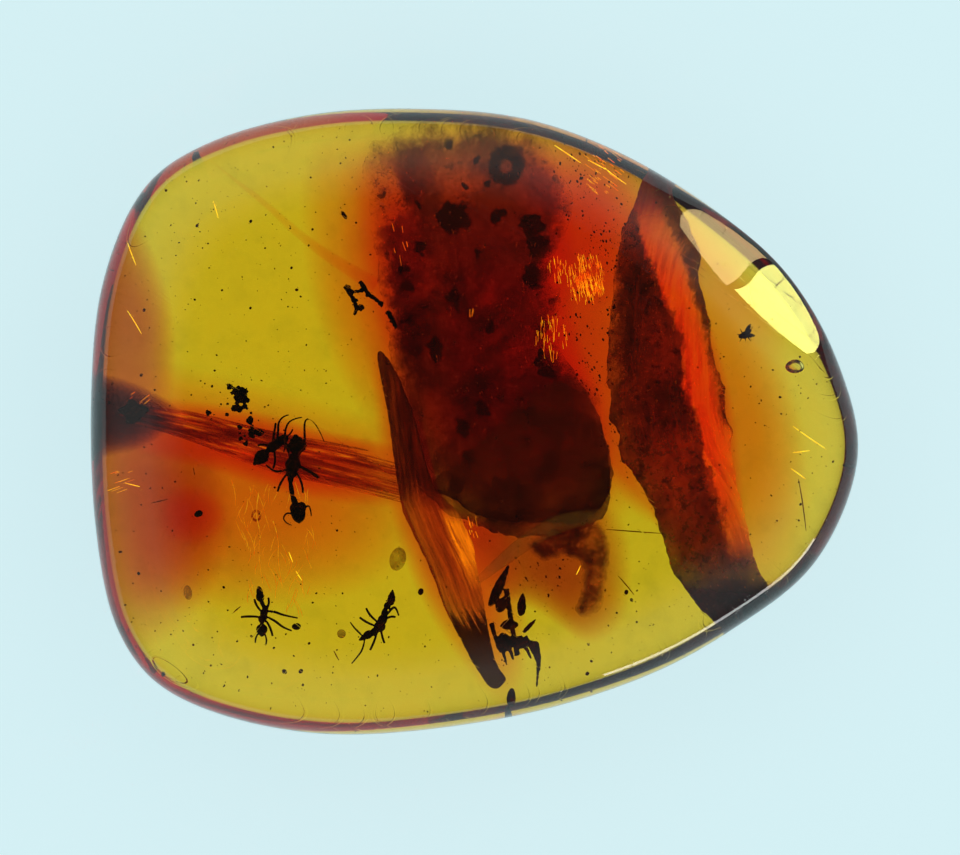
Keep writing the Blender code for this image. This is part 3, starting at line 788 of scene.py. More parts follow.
def amber():
    """A ring drawn out to the outline, raised ring by ring into crown and base, with a bubble in it."""
    bpy.ops.mesh.primitive_circle_add(vertices=STONE_SIDES, radius=1, fill_type="NOTHING")
    stone = named("amber")
    for vertex, point in zip(stone.data.vertices, closed_spline(OUTLINE, STONE_SIDES)):
        vertex.co = (point.x, point.y, GIRDLE_Z)
    edit(stone)
    crown = dome_steps(CROWN_RINGS, math.pi / 2, CROWN_RINGS + 0.5, CROWN_ROUNDNESS)
    raise_rings(crown, TOP_Z - GIRDLE_Z, CROWN_SHIFT)
    bpy.ops.mesh.merge(type="CENTER")
    select_open_rim()
    full_drop = GIRDLE_Z / (1 - BASE_FLAT**BASE_ROUNDNESS) ** (1 / BASE_ROUNDNESS)
    base_angle = math.acos(BASE_FLAT ** (BASE_ROUNDNESS / 2))
    raise_rings(dome_steps(BASE_RINGS, base_angle, BASE_RINGS, BASE_ROUNDNESS), -full_drop, (0, 0))
    bpy.ops.mesh.edge_face_add()
    leave()
    face_outwards(stone)
    apply_modifier(stone, "SUBSURF", levels=2, render_levels=2)
    lean_and_bevel(stone)
    bubble = ball(BUBBLE_PLACE, BUBBLE_HALF, BUBBLE_TURN, 0.15, 24, 16)
    edit(bubble)
    bpy.ops.mesh.flip_normals()
    leave()
    return joined("amber", [stone, bubble])


def dome_steps(rings, full_angle, parts, roundness):
    """The scale and lift of each ring of a dome, when so many parts make up its full angle."""
    angles = [full_angle * k / parts for k in range(1, rings + 1)]
    return [(math.cos(angle) ** (2 / roundness), math.sin(angle) ** (2 / roundness)) for angle in angles]


def select_open_rim():
    bpy.ops.mesh.select_mode(type="EDGE")
    bpy.ops.mesh.select_all(action="DESELECT")
    bpy.ops.mesh.select_non_manifold()


def raise_rings(steps, height, shift):
    """Extrudes the selected rim once for each step, drawing it in about a shifted centre."""
    scale, lift = 1, 0
    for next_scale, next_lift in steps:
        rise = (0, 0, height * (next_lift - lift))
        bpy.ops.mesh.extrude_region_move(TRANSFORM_OT_translate={"value": rise})
        draw_in = next_scale / scale
        bpy.ops.transform.resize(value=(draw_in, draw_in, 1), center_override=(*shift, 0))
        scale, lift = next_scale, next_lift


def lean_and_bevel(stone):
    """Thins the crown towards the narrow end and presses the polished bevel into it."""
    half_length = max(vertex.co.x for vertex in stone.data.vertices)
    outward = Vector((math.cos(BEVEL_BEARING), math.sin(BEVEL_BEARING), 0))
    for vertex in stone.data.vertices:
        lift = (vertex.co.z - GIRDLE_Z) / (TOP_Z - GIRDLE_Z)
        if lift <= 0:
            continue
        vertex.co.z -= (TOP_Z - GIRDLE_Z) * CROWN_TAPER * (1 + vertex.co.x / half_length) * lift**2
        past_line = vertex.co.dot(outward) - BEVEL_OFFSET
        plane_z = GIRDLE_Z + BEVEL_HEIGHT - past_line * math.tan(BEVEL_SLOPE)
        vertex.co.z = soft_least(vertex.co.z, plane_z, BEVEL_SOFTNESS)


# ---------------------------------------------------------------- the insects
def creature(name, depth, body, limbs):
    """An insect at one depth: rounded body parts and jointed limbs, melted into one skin."""
    shapes = []
    for x, y, across, along, turn, tip in body:
        half = (1.25 * across, 1.1 * along, min(across, along))
        shapes.append(ball((x, y, depth), half, turn, tip))
    for k, (radius, *path) in enumerate(limbs):
        droop = 0.03 * (1 - 2 * (k % 2))
        points = [(x, y, depth + droop * step) for step, (x, y) in enumerate(path)]
        shapes.append(stem(points, leg_radii(radius, len(path))))
    insect = joined(name, shapes)
    return fuse(insect, INSECT_GRAIN, 1)


def leg_radii(radius, count):
    """A leg: thick in its second stretch and thin at its foot."""
    profile = (0.75, 1.15, 0.9, 0.7, 0.55, 0.5, 0.45)
    return [radius * share for share in profile[:count]]


def gaster(x, y, across, along, turn):
    """The ringed hind body, as overlapping plates that get smaller to its end."""
    rings = []
    heading = math.radians(turn)
    for k, (shift, size) in enumerate(((-0.45, 0.8), (-0.12, 1.0), (0.25, 0.93), (0.6, 0.66), (0.85, 0.36))):
        step = shift * along
        place = (x - step * math.sin(heading), y + step * math.cos(heading))
        rings.append((*place, across * size, 0.42 * along, turn, 0.12))
    return tuple(rings)


def ant_large():
    body = gaster(-6.95, -0.94, 0.33, 0.34, 10) + (
        (-7.02, -1.28, 0.12, 0.13, 0, 0), (-7.0, -1.17, 0.08, 0.12, 0, 0),
        (-7.06, -1.46, 0.2, 0.22, -8, 0.1), (-7.11, -1.7, 0.25, 0.27, -8, 0),
        (-7.15, -1.98, 0.18, 0.24, -8, 0), (-7.2, -2.2, 0.1, 0.24, 0, 0), (-7.16, -2.68, 0.08, 0.36, 9, 0),
        (-7.05, -3.12, 0.1, 0.24, 20, 0), (-7.02, -3.42, 0.17, 0.22, 25, 0),
        (-6.79, -3.38, 0.16, 0.22, -12, 0), (-6.9, -3.6, 0.25, 0.34, 188, 0.15),
        (-6.93, -3.84, 0.09, 0.14, 200, 0.5), (-6.84, -3.86, 0.09, 0.13, 165, 0.5),
        (-7.13, -3.55, 0.05, 0.07, 10, 0), (-6.7, -3.5, 0.05, 0.07, -10, 0),
    )
    limbs = (
        (FEELER, (-7.0, -3.7), (-7.3, -3.5), (-7.51, -3.78), (-7.35, -3.98), (-7.15, -4.06)),
        (FEELER, (-6.8, -3.6), (-6.55, -3.22), (-6.42, -3.42), (-6.4, -3.7)),
        (LEG, (-7.15, -1.5), (-7.42, -0.95), (-7.42, -0.3), (-7.2, 0.1), (-6.75, 0.16)),
        (
            LEG, (-7.0, -1.5), (-6.62, -0.98), (-6.68, -0.2), (-6.62, 0.1), (-6.4, 0.08), (-6.1, -0.3),
            (-5.9, -0.8)
        ),
        (1.4 * LEG, (-7.0, -1.72), (-6.5, -1.88), (-6.11, -2.22)),
        (LEG, (-7.15, -1.8), (-7.6, -2.0), (-7.95, -1.9), (-8.15, -1.7)),
        (LEG, (-7.05, -1.9), (-6.7, -2.35), (-6.72, -2.8)),
        (LEG, (-7.2, -1.9), (-7.6, -2.3), (-7.7, -2.75)),
    )
    return creature("large_ant", LARGE_ANT_Z, body, limbs)


def ant_curled():
    body = gaster(-8.35, -1.4, 0.24, 0.34, 135) + (
        (-8.15, -1.2, 0.09, 0.14, -45, 0), (-8.03, -1.08, 0.11, 0.12, -45, 0),
        (-7.93, -1.0, 0.17, 0.2, -55, 0), (-7.76, -0.88, 0.18, 0.21, -55, 0.1),
        (-7.52, -0.72, 0.17, 0.22, -50, 0.2), (-7.4, -0.62, 0.05, 0.12, -50, 0.6),
    )
    limbs = (
        (LEG, (-7.95, -1.0), (-7.86, -0.5), (-7.8, -0.06)),
        (LEG, (-7.8, -0.9), (-7.7, -0.45), (-7.72, -0.05), (-7.5, 0.22), (-7.3, 0.26)),
        (LEG, (-7.9, -1.05), (-7.75, -1.5), (-7.9, -1.85)),
        (LEG, (-8.0, -1.0), (-8.25, -0.85), (-8.5, -0.95)),
        (FEELER, (-7.5, -0.75), (-7.38, -1.0), (-7.5, -1.2)),
        (FEELER, (-7.45, -0.65), (-7.2, -0.5), (-7.15, -0.3)),
    )
    return creature("curled_ant", CURLED_ANT_Z, body, limbs)


def ant_small_left():
    body = (
        (-8.43, -6.62, 0.13, 0.2, 10, 0.4), (-8.41, -6.82, 0.13, 0.18, 10, 0),
        (-8.33, -7.06, 0.07, 0.16, 20, 0), (-8.22, -7.25, 0.1, 0.11, 0, 0),
        (-8.27, -7.44, 0.12, 0.16, -12, 0), (-8.33, -7.66, 0.13, 0.15, -12, 0),
        (-8.34, -7.86, 0.07, 0.14, 0, 0), (-8.35, -8.04, 0.18, 0.19, 0, 0),
        (-8.35, -8.17, 0.14, 0.14, 180, 0.4),
    )
    limbs = (
        (LEG, (-8.25, -7.35), (-7.85, -7.36), (-7.59, -7.5), (-6.95, -7.62)),
        (LEG, (-8.22, -7.54), (-7.85, -7.7), (-7.55, -7.98), (-7.19, -8.1)),
        (LEG, (-8.25, -7.66), (-8.03, -7.86), (-7.93, -8.3)),
        (LEG, (-8.35, -7.6), (-8.7, -7.52), (-9.15, -7.58)),
        (LEG, (-8.33, -7.4), (-8.6, -7.15), (-8.62, -6.9)),
        (LEG, (-8.22, -7.35), (-8.02, -7.1), (-8.1, -6.84)),
        (FEELER, (-8.4, -8.1), (-8.62, -8.3), (-8.6, -8.55)),
        (FEELER, (-8.28, -8.12), (-8.12, -8.4), (-8.2, -8.62)),
    )
    return creature("small_ant_left", SMALL_ANT_Z, body, limbs)


def ant_small_right():
    body = gaster(-3.31, -6.9, 0.14, 0.28, -8) + (
        (-3.47, -7.16, 0.11, 0.14, -30, 0), (-3.59, -7.42, 0.09, 0.2, -20, 0),
        (-3.66, -7.7, 0.15, 0.18, -25, 0), (-3.76, -7.94, 0.18, 0.2, -25, 0),
        (-3.97, -8.14, 0.12, 0.18, -50, 0), (-4.22, -8.26, 0.13, 0.2, -60, 0),
        (-4.42, -8.38, 0.1, 0.18, 120, 0.5),
    )
    limbs = (
        (FEELER, (-4.4, -8.35), (-4.6, -8.15), (-4.78, -7.98), (-4.92, -7.78)),
        (FEELER, (-4.35, -8.4), (-4.4, -8.75), (-4.6, -9.05), (-4.87, -9.34)),
        (LEG, (-3.73, -7.95), (-3.7, -8.32), (-3.58, -8.58)),
        (LEG, (-3.65, -7.75), (-3.35, -7.5), (-3.15, -7.6)),
        (LEG, (-3.6, -7.65), (-3.3, -7.24), (-3.12, -7.2), (-3.02, -7.54)),
        (LEG, (-3.8, -7.8), (-4.15, -7.6), (-4.3, -7.25)),
        (LEG, (-3.85, -7.95), (-4.25, -7.85), (-4.55, -7.6)),
        (LEG, (-3.85, -8.05), (-3.95, -8.5), (-4.15, -8.84)),
    )
    return creature("small_ant_right", SMALL_ANT_Z, body, limbs)


def gnat():
    """A midge with its two wings folded over its back."""
    x, y, z = GNAT_PLACE
    shapes = [
        ball((x, y, z), (0.15, 0.14, 0.14)),
        ball((x + 0.2, y - 0.03, z), (0.1, 0.19, 0.09), -100, 0.5),
        ball((x - 0.15, y - 0.03, z), (0.08, 0.09, 0.08)),
        stem([(x - 0.18, y, z), (x - 0.24, y + 0.06, z), (x - 0.3, y + 0.04, z)], taper(0.025, 3)),
    ]
    for side in (-1, 1):
        wing_root = (x + 0.08, y + 0.12 + side * 0.06, z + 0.1)
        shapes.append(ball(wing_root, (0.07, 0.19, 0.022), -40 + side * 16, -0.3))
        for reach in (-0.12, 0.03, 0.16):
            path = [
                (x + reach / 2, y, z - 0.06), (x + reach, y + side * 0.14, z - 0.02),
                (x + 1.5 * reach, y + side * 0.24, z - 0.1),
            ]
            shapes.append(stem(path, taper(0.03, 3)))
    return fuse(joined("midge", shapes), 0.016, 1)


# ---------------------------------------------------------------- the bark, wood and root
def bark_slab():
    slab = plate("slab_of_bark", SLAB_OUTLINE, SLAB_Z, (0.01, 0.015), 0.7, 0.25, 0.085, 1.0)
    roughen(slab, 1.1, 0.34, 3)
    return roughen(slab, 0.3, 0.1)


SLAB_Z = 3.75
SLAB_OUTLINE = (
    (-4.1, 10.5), (-1.4, 11.1), (1.0, 11.2), (2.8, 10.3), (3.7, 8.4), (3.1, 6.3), (3.2, 4.6), (3.5, 2.6),
    (4.5, 0.9), (5.0, -0.4), (5.35, -1.7), (5.2, -3.4), (4.4, -4.2), (2.2, -4.5), (0.1, -4.1),
    (-1.9, -3.0), (-2.7, -1.0), (-3.25, 2.4), (-3.8, 5.6), (-4.2, 8.0),
)


def bark_flake():
    flake = plate("flake_of_bark", FLAKE_OUTLINE, 4.6, (0, 0), 0.26, 0.16, 0.06, 3.0)
    return roughen(flake, 0.6, 0.12)


FLAKE_OUTLINE = (
    (-1.75, -2.5), (-0.15, -0.86), (1.8, 0.9), (4.3, 1.8), (5.2, -1.0), (5.25, -2.8), (4.3, -3.9),
    (2.1, -3.95), (0.25, -3.8), (-0.95, -3.0),
)


def bark_strip():
    strip = plate("strip_of_bark", STRIP_LEFT[::-1] + STRIP_RIGHT, 3.9, (-0.09, 0), 0.66, 0.22, 0.08, 5.0)
    lay_grain(strip, STRIP_LEFT, STRIP_RIGHT)
    seam = strip.data.attributes.new("seam", "FLOAT", "POINT")
    for vertex, slot in zip(strip.data.vertices, seam.data):
        slot.value = vertex.co.x - side_at(STRIP_SEAM, vertex.co.y)
    roughen(strip, 0.8, 0.3, 3)
    return roughen(strip, 0.25, 0.08)


STRIP_RIGHT = (
    (6.7, 9.6), (7.6, 8.3), (8.25, 6.5), (8.9, 4.5), (9.45, 2.2), (9.9, 0.2), (10.2, -2.3), (10.8, -5.0),
    (11.3, -6.6), (10.5, -7.35),
)
STRIP_SEAM = (
    (6.0, 9.2), (6.85, 7.2), (7.9, 4.9), (8.5, 3.0), (8.95, 0.6), (9.75, -2.3), (10.15, -3.9),
    (10.5, -5.2), (11.0, -7.4)
)
STRIP_LEFT = (
    (5.8, 7.6), (5.4, 5.4), (5.25, 3.0), (5.35, 0.4), (5.75, -1.2), (6.75, -2.9), (7.3, -4.3), (7.6, -5.4),
    (8.2, -6.5), (9.5, -7.5),
)


def wood_blade():
    """A long split with ribs along it."""
    blade = plate("blade_of_wood", BLADE_LEFT[::-1] + BLADE_RIGHT, 4.85, (0, 0), 0.32, 0.1, 0.06, 7.0)
    lay_grain(blade, BLADE_LEFT, BLADE_RIGHT)
    lay = blade.data.attributes["lay"].data
    for vertex, slot in zip(blade.data.vertices, lay):
        rib = noise.noise(Vector((4.5 * slot.vector.x, 0.35 * vertex.co.y, 0.7)))
        vertex.co.z += 0.12 * rib
    return roughen(blade, 0.3, 0.05)


BLADE_RIGHT = (
    (-3.85, 2.65), (-3.2, 2.1), (-2.45, 0.3), (-1.95, -1.6), (-1.5, -2.7), (-0.45, -3.95), (0.1, -5.9),
    (0.4, -7.5), (0.75, -9.2), (1.15, -9.9),
)
BLADE_LEFT = (
    (-3.4, 0.0), (-2.95, -3.1), (-2.4, -4.5), (-1.75, -5.8), (-1.25, -7.2), (-0.7, -8.2), (-0.1, -9.3),
    (0.6, -10.2),
)


def root():
    """A flat bundle of fine fibres on a core, fraying at both ends."""
    draw = random.Random(11)
    count = len(ROOT_PATH)
    core = stem(ROOT_PATH, [0.55 * width for width in ROOT_WIDTHS], 0.45, 2, 6)
    fibres = [core]
    for k in range(ROOT_FIBRES):
        share = 2 * (k + 0.5) / ROOT_FIBRES - 1
        lift = draw.uniform(-1, 1)
        path = []
        for (x, y, z), width in zip(ROOT_PATH, ROOT_WIDTHS):
            off = width * share * draw.uniform(0.93, 1.07)
            rise = 0.3 * width * lift * math.sqrt(1 - share * share) + draw.uniform(-0.03, 0.03)
            path.append((x + 0.2 * off, y + off, z + rise))
        start = draw.choice((0, 0, 0, 1, 2))
        end = count - draw.choice((0, 0, 0, 1, 2))
        radius = draw.uniform(*FIBRE_RADII)
        radii = [radius] * (end - start)
        radii[0] = radii[-1] = 0.3 * radius
        fibres.append(stem(path[start:end], radii, 1, 0, 5))
    return joined("bundle_of_fibres", fibres)


ROOT_FIBRES = 32
FIBRE_RADII = (0.04, 0.085)
ROOT_PATH = (
    (-13.6, 0.3, 4.05), (-12.6, 0.18, 4.05), (-10.9, -0.2, 4.05), (-9.3, -0.75, 4.05), (-7.7, -1.25, 4.05),
    (-6.0, -1.65, 4.05), (-4.4, -2.0, 4.05), (-2.7, -2.45, 4.05),
)
ROOT_WIDTHS = (0.18, 0.4, 0.52, 0.64, 0.74, 0.82, 0.86, 0.84)


def husk_curl():
    """A husk that bends round like a hook."""
    husk = plate("curled_husk", HUSK_OUTLINE, 4.8, (0, 0), 0.34, 0.12, 0.05, 4.0)
    return roughen(husk, 0.5, 0.16)


HUSK_OUTLINE = (
    (2.0, -4.8), (3.0, -4.2), (4.0, -4.0), (4.9, -4.0), (5.2, -4.4), (5.25, -5.5), (5.1, -6.5),
    (4.8, -7.3), (4.3, -7.6), (3.9, -7.3), (4.1, -6.7), (4.2, -5.9), (4.1, -5.45), (3.5, -5.3),
    (2.6, -5.4),
)


def petal(x, y, z, across, along, turn):
    """A small pointed scale, hollowed a little and drawn to a tip at its upper end."""
    bpy.ops.mesh.primitive_uv_sphere_add(segments=20, ring_count=14, radius=1)
    scale = bpy.context.active_object
    for vertex in scale.data.vertices:
        up = (1 + vertex.co.y) / 2
        vertex.co.x *= 1 - 0.55 * up * up
        vertex.co.z += PETAL_CUP * (vertex.co.x**2) - 0.25 * PETAL_CUP
    return place_at(scale, (x, y, z), (across, along, PETAL_THICKNESS), turn)


def bud_scales():
    """Dark scales on a short stalk, with a ragged fringe and one spike below them."""
    shapes = [stem([(1.2, -6.5, BUD_Z), (1.35, -7.6, BUD_Z), (1.6, -9.0, BUD_Z)], taper(0.12, 3, 0.8))]
    for x, y, across, along, turn in BUD_PETALS:
        shapes.append(petal(x, y, BUD_Z + 0.04, across, along, turn))
    for path in BUD_FRINGE:
        shapes.append(stem([(x, y, BUD_Z) for x, y in path], taper(0.12, len(path), 0.35), 0.8))
    bud = fuse(joined("scales_of_bud", shapes), 0.035, 1)
    return roughen(bud, 0.18, 0.05)


BUD_Z = 4.35
PETAL_THICKNESS = 0.12
PETAL_CUP = 0.5
BUD_PETALS = (
    (0.92, -6.4, 0.22, 0.9, -26), (1.02, -7.08, 0.24, 0.36, -30), (1.8, -7.1, 0.2, 0.46, -6),
    (1.3, -7.85, 0.42, 0.2, 6), (2.1, -7.9, 0.1, 0.38, -46), (1.1, -8.5, 0.42, 0.36, 20),
    (1.7, -8.5, 0.36, 0.24, -10),
)
BUD_FRINGE = (
    ((0.6, -7.8), (0.75, -8.4), (0.95, -8.9)), ((0.9, -8.3), (1.05, -8.9), (1.2, -9.35)),
    ((1.2, -8.4), (1.35, -8.9), (1.45, -9.15)), ((1.4, -8.3), (1.6, -8.7), (1.7, -8.95)),
    ((1.5, -8.5), (1.9, -8.45), (2.4, -8.5)), ((1.7, -8.3), (2.0, -8.8), (2.15, -9.1)),
    ((1.9, -8.3), (2.2, -8.7), (2.35, -9.2)), ((2.3, -8.5), (2.42, -9.1), (2.4, -9.6), (2.33, -10.05)),
    ((2.35, -8.55), (2.5, -9.0), (2.46, -9.5)),
)


def seed(name, place, half, turn):
    """An egg-shaped seed with a seam round it."""
    grain_body = ball(place, half, turn, 0.25, 24, 18)
    edit(grain_body)
    mesh = bmesh.from_edit_mesh(grain_body.data)
    for face in mesh.faces:
        face.select_set(abs(face.calc_center_median().z - place[2]) < 0.18 * half[2])
    bmesh.update_edit_mesh(grain_body.data)
    bpy.ops.transform.resize(value=(1.07, 1.07, 1), center_override=place)
    leave()
    roughen(grain_body, 0.1, 0.03)
    return named(name)


# ---------------------------------------------------------------- loose bits
def frass():
    """Angular granules, each a lump with grains stuck to it."""
    draw = random.Random(3)
    lumps = []
    for x, y, size in FRASS:
        squashed = (size, size * draw.uniform(0.75, 1.2), 0.85 * size)
        lumps.append(pebble((x, y, FRASS_Z), squashed, draw.uniform(0, 90), 2))
        for _ in range(3):
            turn = draw.uniform(0, 2 * math.pi)
            crumb = size * draw.uniform(0.25, 0.5)
            place = (
                x + size * math.cos(turn), y + size * math.sin(turn),
                FRASS_Z + draw.uniform(-0.05, 0.05)
            )
            lumps.append(pebble(place, (crumb, crumb, crumb), 0, 2))
    return roughen(fuse(joined("grains_of_frass", lumps), 0.025, 0), 0.07, 0.09)


# Each granule has a place and a half size.
FRASS = (
    (-9.55, 1.36, 0.12), (-9.45, 1.13, 0.07), (-9.14, 1.13, 0.24), (-9.04, 0.89, 0.19),
    (-9.24, 0.92, 0.16), (-9.26, 0.76, 0.1), (-9.35, 0.52, 0.14), (-9.16, 0.48, 0.14), (-8.98, 0.58, 0.12),
    (-9.63, 0.68, 0.05), (-9.66, 0.27, 0.07), (-10.37, 0.33, 0.1), (-8.74, 0.33, 0.05),
    (-8.79, 0.02, 0.14), (-8.69, -0.22, 0.08), (-8.71, -0.47, 0.16), (-8.42, -0.45, 0.14),
    (-9.18, -0.22, 0.08), (-9.18, -0.47, 0.05), (-9.14, -0.66, 0.08), (-8.93, -0.88, 0.1),
    (-8.98, -0.56, 0.05), (-9.39, 1.29, 0.07), (-8.95, 1.17, 0.11), (-10.15, 0.25, 0.04),
    (-9.88, 0.68, 0.04),
)


def charred():
    """Black brittle fibres with knots, in loose bits."""
    z = CHARRED_Z
    shapes = []
    for radius, *path in CHARRED:
        shapes.append(stem([(x, y, z) for x, y in path], taper(radius, len(path), 0.7)))
    for x, y, size in CHARRED_KNOTS:
        shapes.append(pebble((x, y, z), (size, 0.85 * size, 0.7 * size), 20, 2))
    return roughen(fuse(joined("charred", shapes), 0.03, 0), 0.09, 0.1)


CHARRED = (
    (0.1, (-5.1, 5.3), (-4.75, 4.75), (-4.63, 4.35), (-4.75, 4.18)),
    (0.085, (-5.0, 5.15), (-4.8, 5.0), (-4.5, 5.1)),
    (0.1, (-4.52, 5.45), (-4.3, 5.15), (-4.15, 4.9), (-3.87, 4.78), (-3.65, 4.5)),
    (0.11, (-3.45, 4.3), (-3.25, 4.0), (-3.1, 3.65)),
)
CHARRED_KNOTS = (
    (-4.5, 4.45, 0.16), (-4.72, 4.72, 0.13), (-5.0, 5.2, 0.13), (-4.2, 4.95, 0.12), (-3.7, 4.6, 0.11),
    (-4.45, 5.1, 0.1),
)


def black_lump():
    lump = plate("lump_of_char", LUMP_OUTLINE, 5.0, (0, 0), 0.5, 0.08, 0.05, 9.0)
    return roughen(lump, 0.2, 0.14)


LUMP_OUTLINE = (
    (-13.75, 0.45), (-13.45, 0.62), (-13.3, 0.88), (-13.0, 0.7), (-12.75, 0.66), (-12.6, 0.4),
    (-12.9, 0.2), (-13.0, 0.0), (-13.4, -0.1), (-13.5, 0.2),
)


def crumbs(name, places):
    """Single dark bits, lumpy."""
    lumps = []
    for x, y, z, across, along, turn in places:
        lumps.append(pebble((x, y, z), (across, along, 0.9 * min(across, along)), turn, 3))
    return roughen(joined(name, lumps), 0.12, 0.06)


CRUMBS = (
    (-10.75, -3.62, 4.6, 0.17, 0.13, 15), (-5.15, 7.98, 4.6, 0.08, 0.18, 30),
    (-7.03, -7.94, 4.4, 0.18, 0.13, 0),
)


def discs():
    """Thin round scales, thicker at the rim."""
    made = []
    for x, y, z, across, along, turn in DISCS:
        disc = ball((x, y, z), (across, along, 0.045), turn, 0, 28, 12)
        for vertex in disc.data.vertices:
            away = math.hypot((vertex.co.x - x) / across, (vertex.co.y - y) / along)
            vertex.co.z = z + (vertex.co.z - z) * (0.5 + 1.2 * min(1, away) ** 3)
        made.append(disc)
    return joined("scales", made)


DISCS = (
    (-3.07, -5.38, 4.3, 0.32, 0.46, -15), (-11.15, -6.66, 4.4, 0.16, 0.28, 10),
    (-5.27, -8.22, 4.5, 0.17, 0.17, 0),
)


def specks():
    """Dust all through the resin, and the larger flecks that stand out."""
    draw = random.Random(29)
    bits = []
    for x, y, size in FLECKS:
        place = (x, y, draw.uniform(*FLECK_LEVELS))
        bits.append(pebble(place, (size, 0.8 * size, 0.7 * size), draw.uniform(0, 180), 2))
    outline = closed_spline(OUTLINE, DUST_BEARINGS)
    places = []
    for _ in range(DUST_COUNT):
        side, past = draw.randrange(DUST_BEARINGS), draw.random()
        edge = outline[side].lerp(outline[(side + 1) % DUST_BEARINGS], past)
        share = 0.92 * math.sqrt(draw.random())
        size = 0.018 + 0.038 * draw.random() ** 4
        place = (edge.x * share, edge.y * share, draw.uniform(*DUST_LEVELS))
        places.append((place, (size, size * draw.uniform(0.5, 1), size), draw.uniform(0, math.pi)))
    for x, y, spread, count in DIRT_BEDS:
        for _ in range(count):
            away, turn = spread * math.sqrt(draw.random()), draw.uniform(0, 2 * math.pi)
            size = 0.022 + 0.055 * draw.random() ** 2
            place = (x + away * math.cos(turn), y + away * math.sin(turn), draw.uniform(*DIRT_LEVELS))
            places.append((place, (0.6 * size, size, 0.4 * size), draw.uniform(-0.5, 0.9)))
    bits += scatter(pebble((0, 0, 0), (1, 1, 1)), places)
    return joined("dust", bits)


DUST_BEARINGS = 60
DUST_COUNT = 1700
DUST_LEVELS = (3.0, 6.0)
DIRT_LEVELS = (3.9, 4.5)
FLECK_LEVELS = (4.4, 5.6)
# Each bed of dirt by the bark has a centre, a spread and a count.
DIRT_BEDS = (
    (4.4, 8.9, 1.5, 80), (3.8, 10.0, 1.0, 30), (5.2, 6.8, 1.0, 80), (4.5, 4.0, 1.2, 60),
    (4.7, 1.8, 0.8, 50), (5.3, -0.6, 0.5, 20), (2.6, -5.6, 1.2, 50), (-13.9, 1.0, 0.5, 20),
)
FLECKS = (
    (-10.79, 7.58, 0.07), (-8.75, 7.74, 0.07), (-7.19, 5.98, 0.06), (-6.99, 5.14, 0.07),
    (-12.75, 4.34, 0.07), (-12.87, 1.82, 0.07), (-8.75, 4.42, 0.06), (-10.39, 0.26, 0.07),
    (-10.23, 1.38, 0.06), (-12.03, -9.62, 0.09), (-7.47, -9.62, 0.11), (-6.83, -9.62, 0.1),
    (-6.75, -10.14, 0.06), (-6.51, -8.58, 0.06), (-8.75, -8.3, 0.06), (-9.79, -6.46, 0.06),
    (-12.99, -5.94, 0.07), (-2.15, -6.62, 0.14), (4.41, -8.58, 0.07), (4.49, -9.14, 0.06),
    (4.33, -9.62, 0.08), (4.45, -10.14, 0.06), (5.9, -6.6, 0.1), (6.1, -6.9, 0.08), (11.9, 0.9, 0.06),
    (12.7, -3.2, 0.06),
)


def slivers(name, lines, radius):
    """Fine straight fibres, each from one end to the other, pointed at both."""
    made = []
    for k, (x1, y1, x2, y2, z) in enumerate(lines):
        bow = 0.06 * (1 - 2 * (k % 2)) * math.hypot(x2 - x1, y2 - y1)
        middle = ((x1 + x2) / 2 + bow * 0.5, (y1 + y2) / 2, z + 0.05)
        made.append(stem([(x1, y1, z), middle, (x2, y2, z)], (0.3 * radius, radius, 0.3 * radius), 1, 0, 3))
    return joined(name, made)


GOLD_LINES = (
    (-10.19, 8.5, -9.99, 7.86, 5.2), (-13.31, 6.9, -13.03, 6.06, 4.8), (-13.39, 4.34, -12.87, 3.42, 4.9),
    (-7.04, -5.8, -6.78, -6.2, 5.1), (-7.3, -5.1, -7.15, -5.5, 5.0), (12.41, -0.22, 13.7, -1.1, 5.0),
    (12.33, -1.82, 12.89, -2.22, 5.2), (12.41, -1.22, 13.05, -1.14, 5.2), (3.0, 10.5, 4.05, 9.85, 4.6),
    (4.95, 9.65, 5.8, 9.05, 4.6), (4.3, 9.95, 5.0, 9.6, 4.6), (-13.4, -2.42, -12.9, -2.56, 4.3),
    (3.95, -5.95, 4.12, -5.6, 5.3), (10.6, 5.2, 10.7, 4.2, 5.2),
)
BROWN_LINES = (
    (12.61, -2.22, 12.85, -4.18, 4.6), (-5.55, -8.86, -5.35, -9.22, 5.0),
    (-10.95, -1.82, -10.9, -2.1, 5.0), (-9.43, -7.42, -9.15, -7.18, 5.0), (5.6, -6.0, 6.2, -6.7, 4.8),
    (5.13, -4.2, 7.29, -4.34, 5.0), (-12.5, -3.2, -11.9, -3.05, 4.6),
)


def hairs():
    """Hair-fine curling fibres below the root, whose material gives them a painted glow where they catch the
    light.
    """
    draw = random.Random(41)
    made = []
    for _ in range(HAIR_COUNT):
        spot = Vector((draw.uniform(-9.2, -6.4), draw.uniform(-7.4, -2.6), draw.uniform(4.6, 5.4)))
        heading = Vector((draw.uniform(-0.5, 0.5), -1, draw.uniform(-0.1, 0.1))) * draw.uniform(0.15, 0.45)
        bow = Vector((draw.uniform(-0.2, 0.2), 0, 0))
        made.append(stem([spot - heading, spot + bow, spot + heading], (0.006, 0.016, 0.006), 1, 0, 3))
    for path in STRANDS:
        made.append(stem([(x, y, STRAND_Z) for x, y in path], taper(0.018, len(path), 0.4), 1, 2, 3))
    return joined("hairs", made)


HAIR_COUNT = 60
STRAND_Z = 5.0
STRANDS = (
    ((-8.45, -2.8), (-8.6, -3.6), (-8.35, -4.4), (-8.5, -5.2), (-8.3, -6.3)),
    ((-7.9, -3.9), (-7.65, -4.6), (-7.75, -5.4), (-7.55, -6.4)),
    ((-9.5, -2.3), (-9.3, -2.8), (-9.35, -3.3)), ((-6.6, -4.2), (-6.3, -4.5), (-6.2, -5.0)),
)


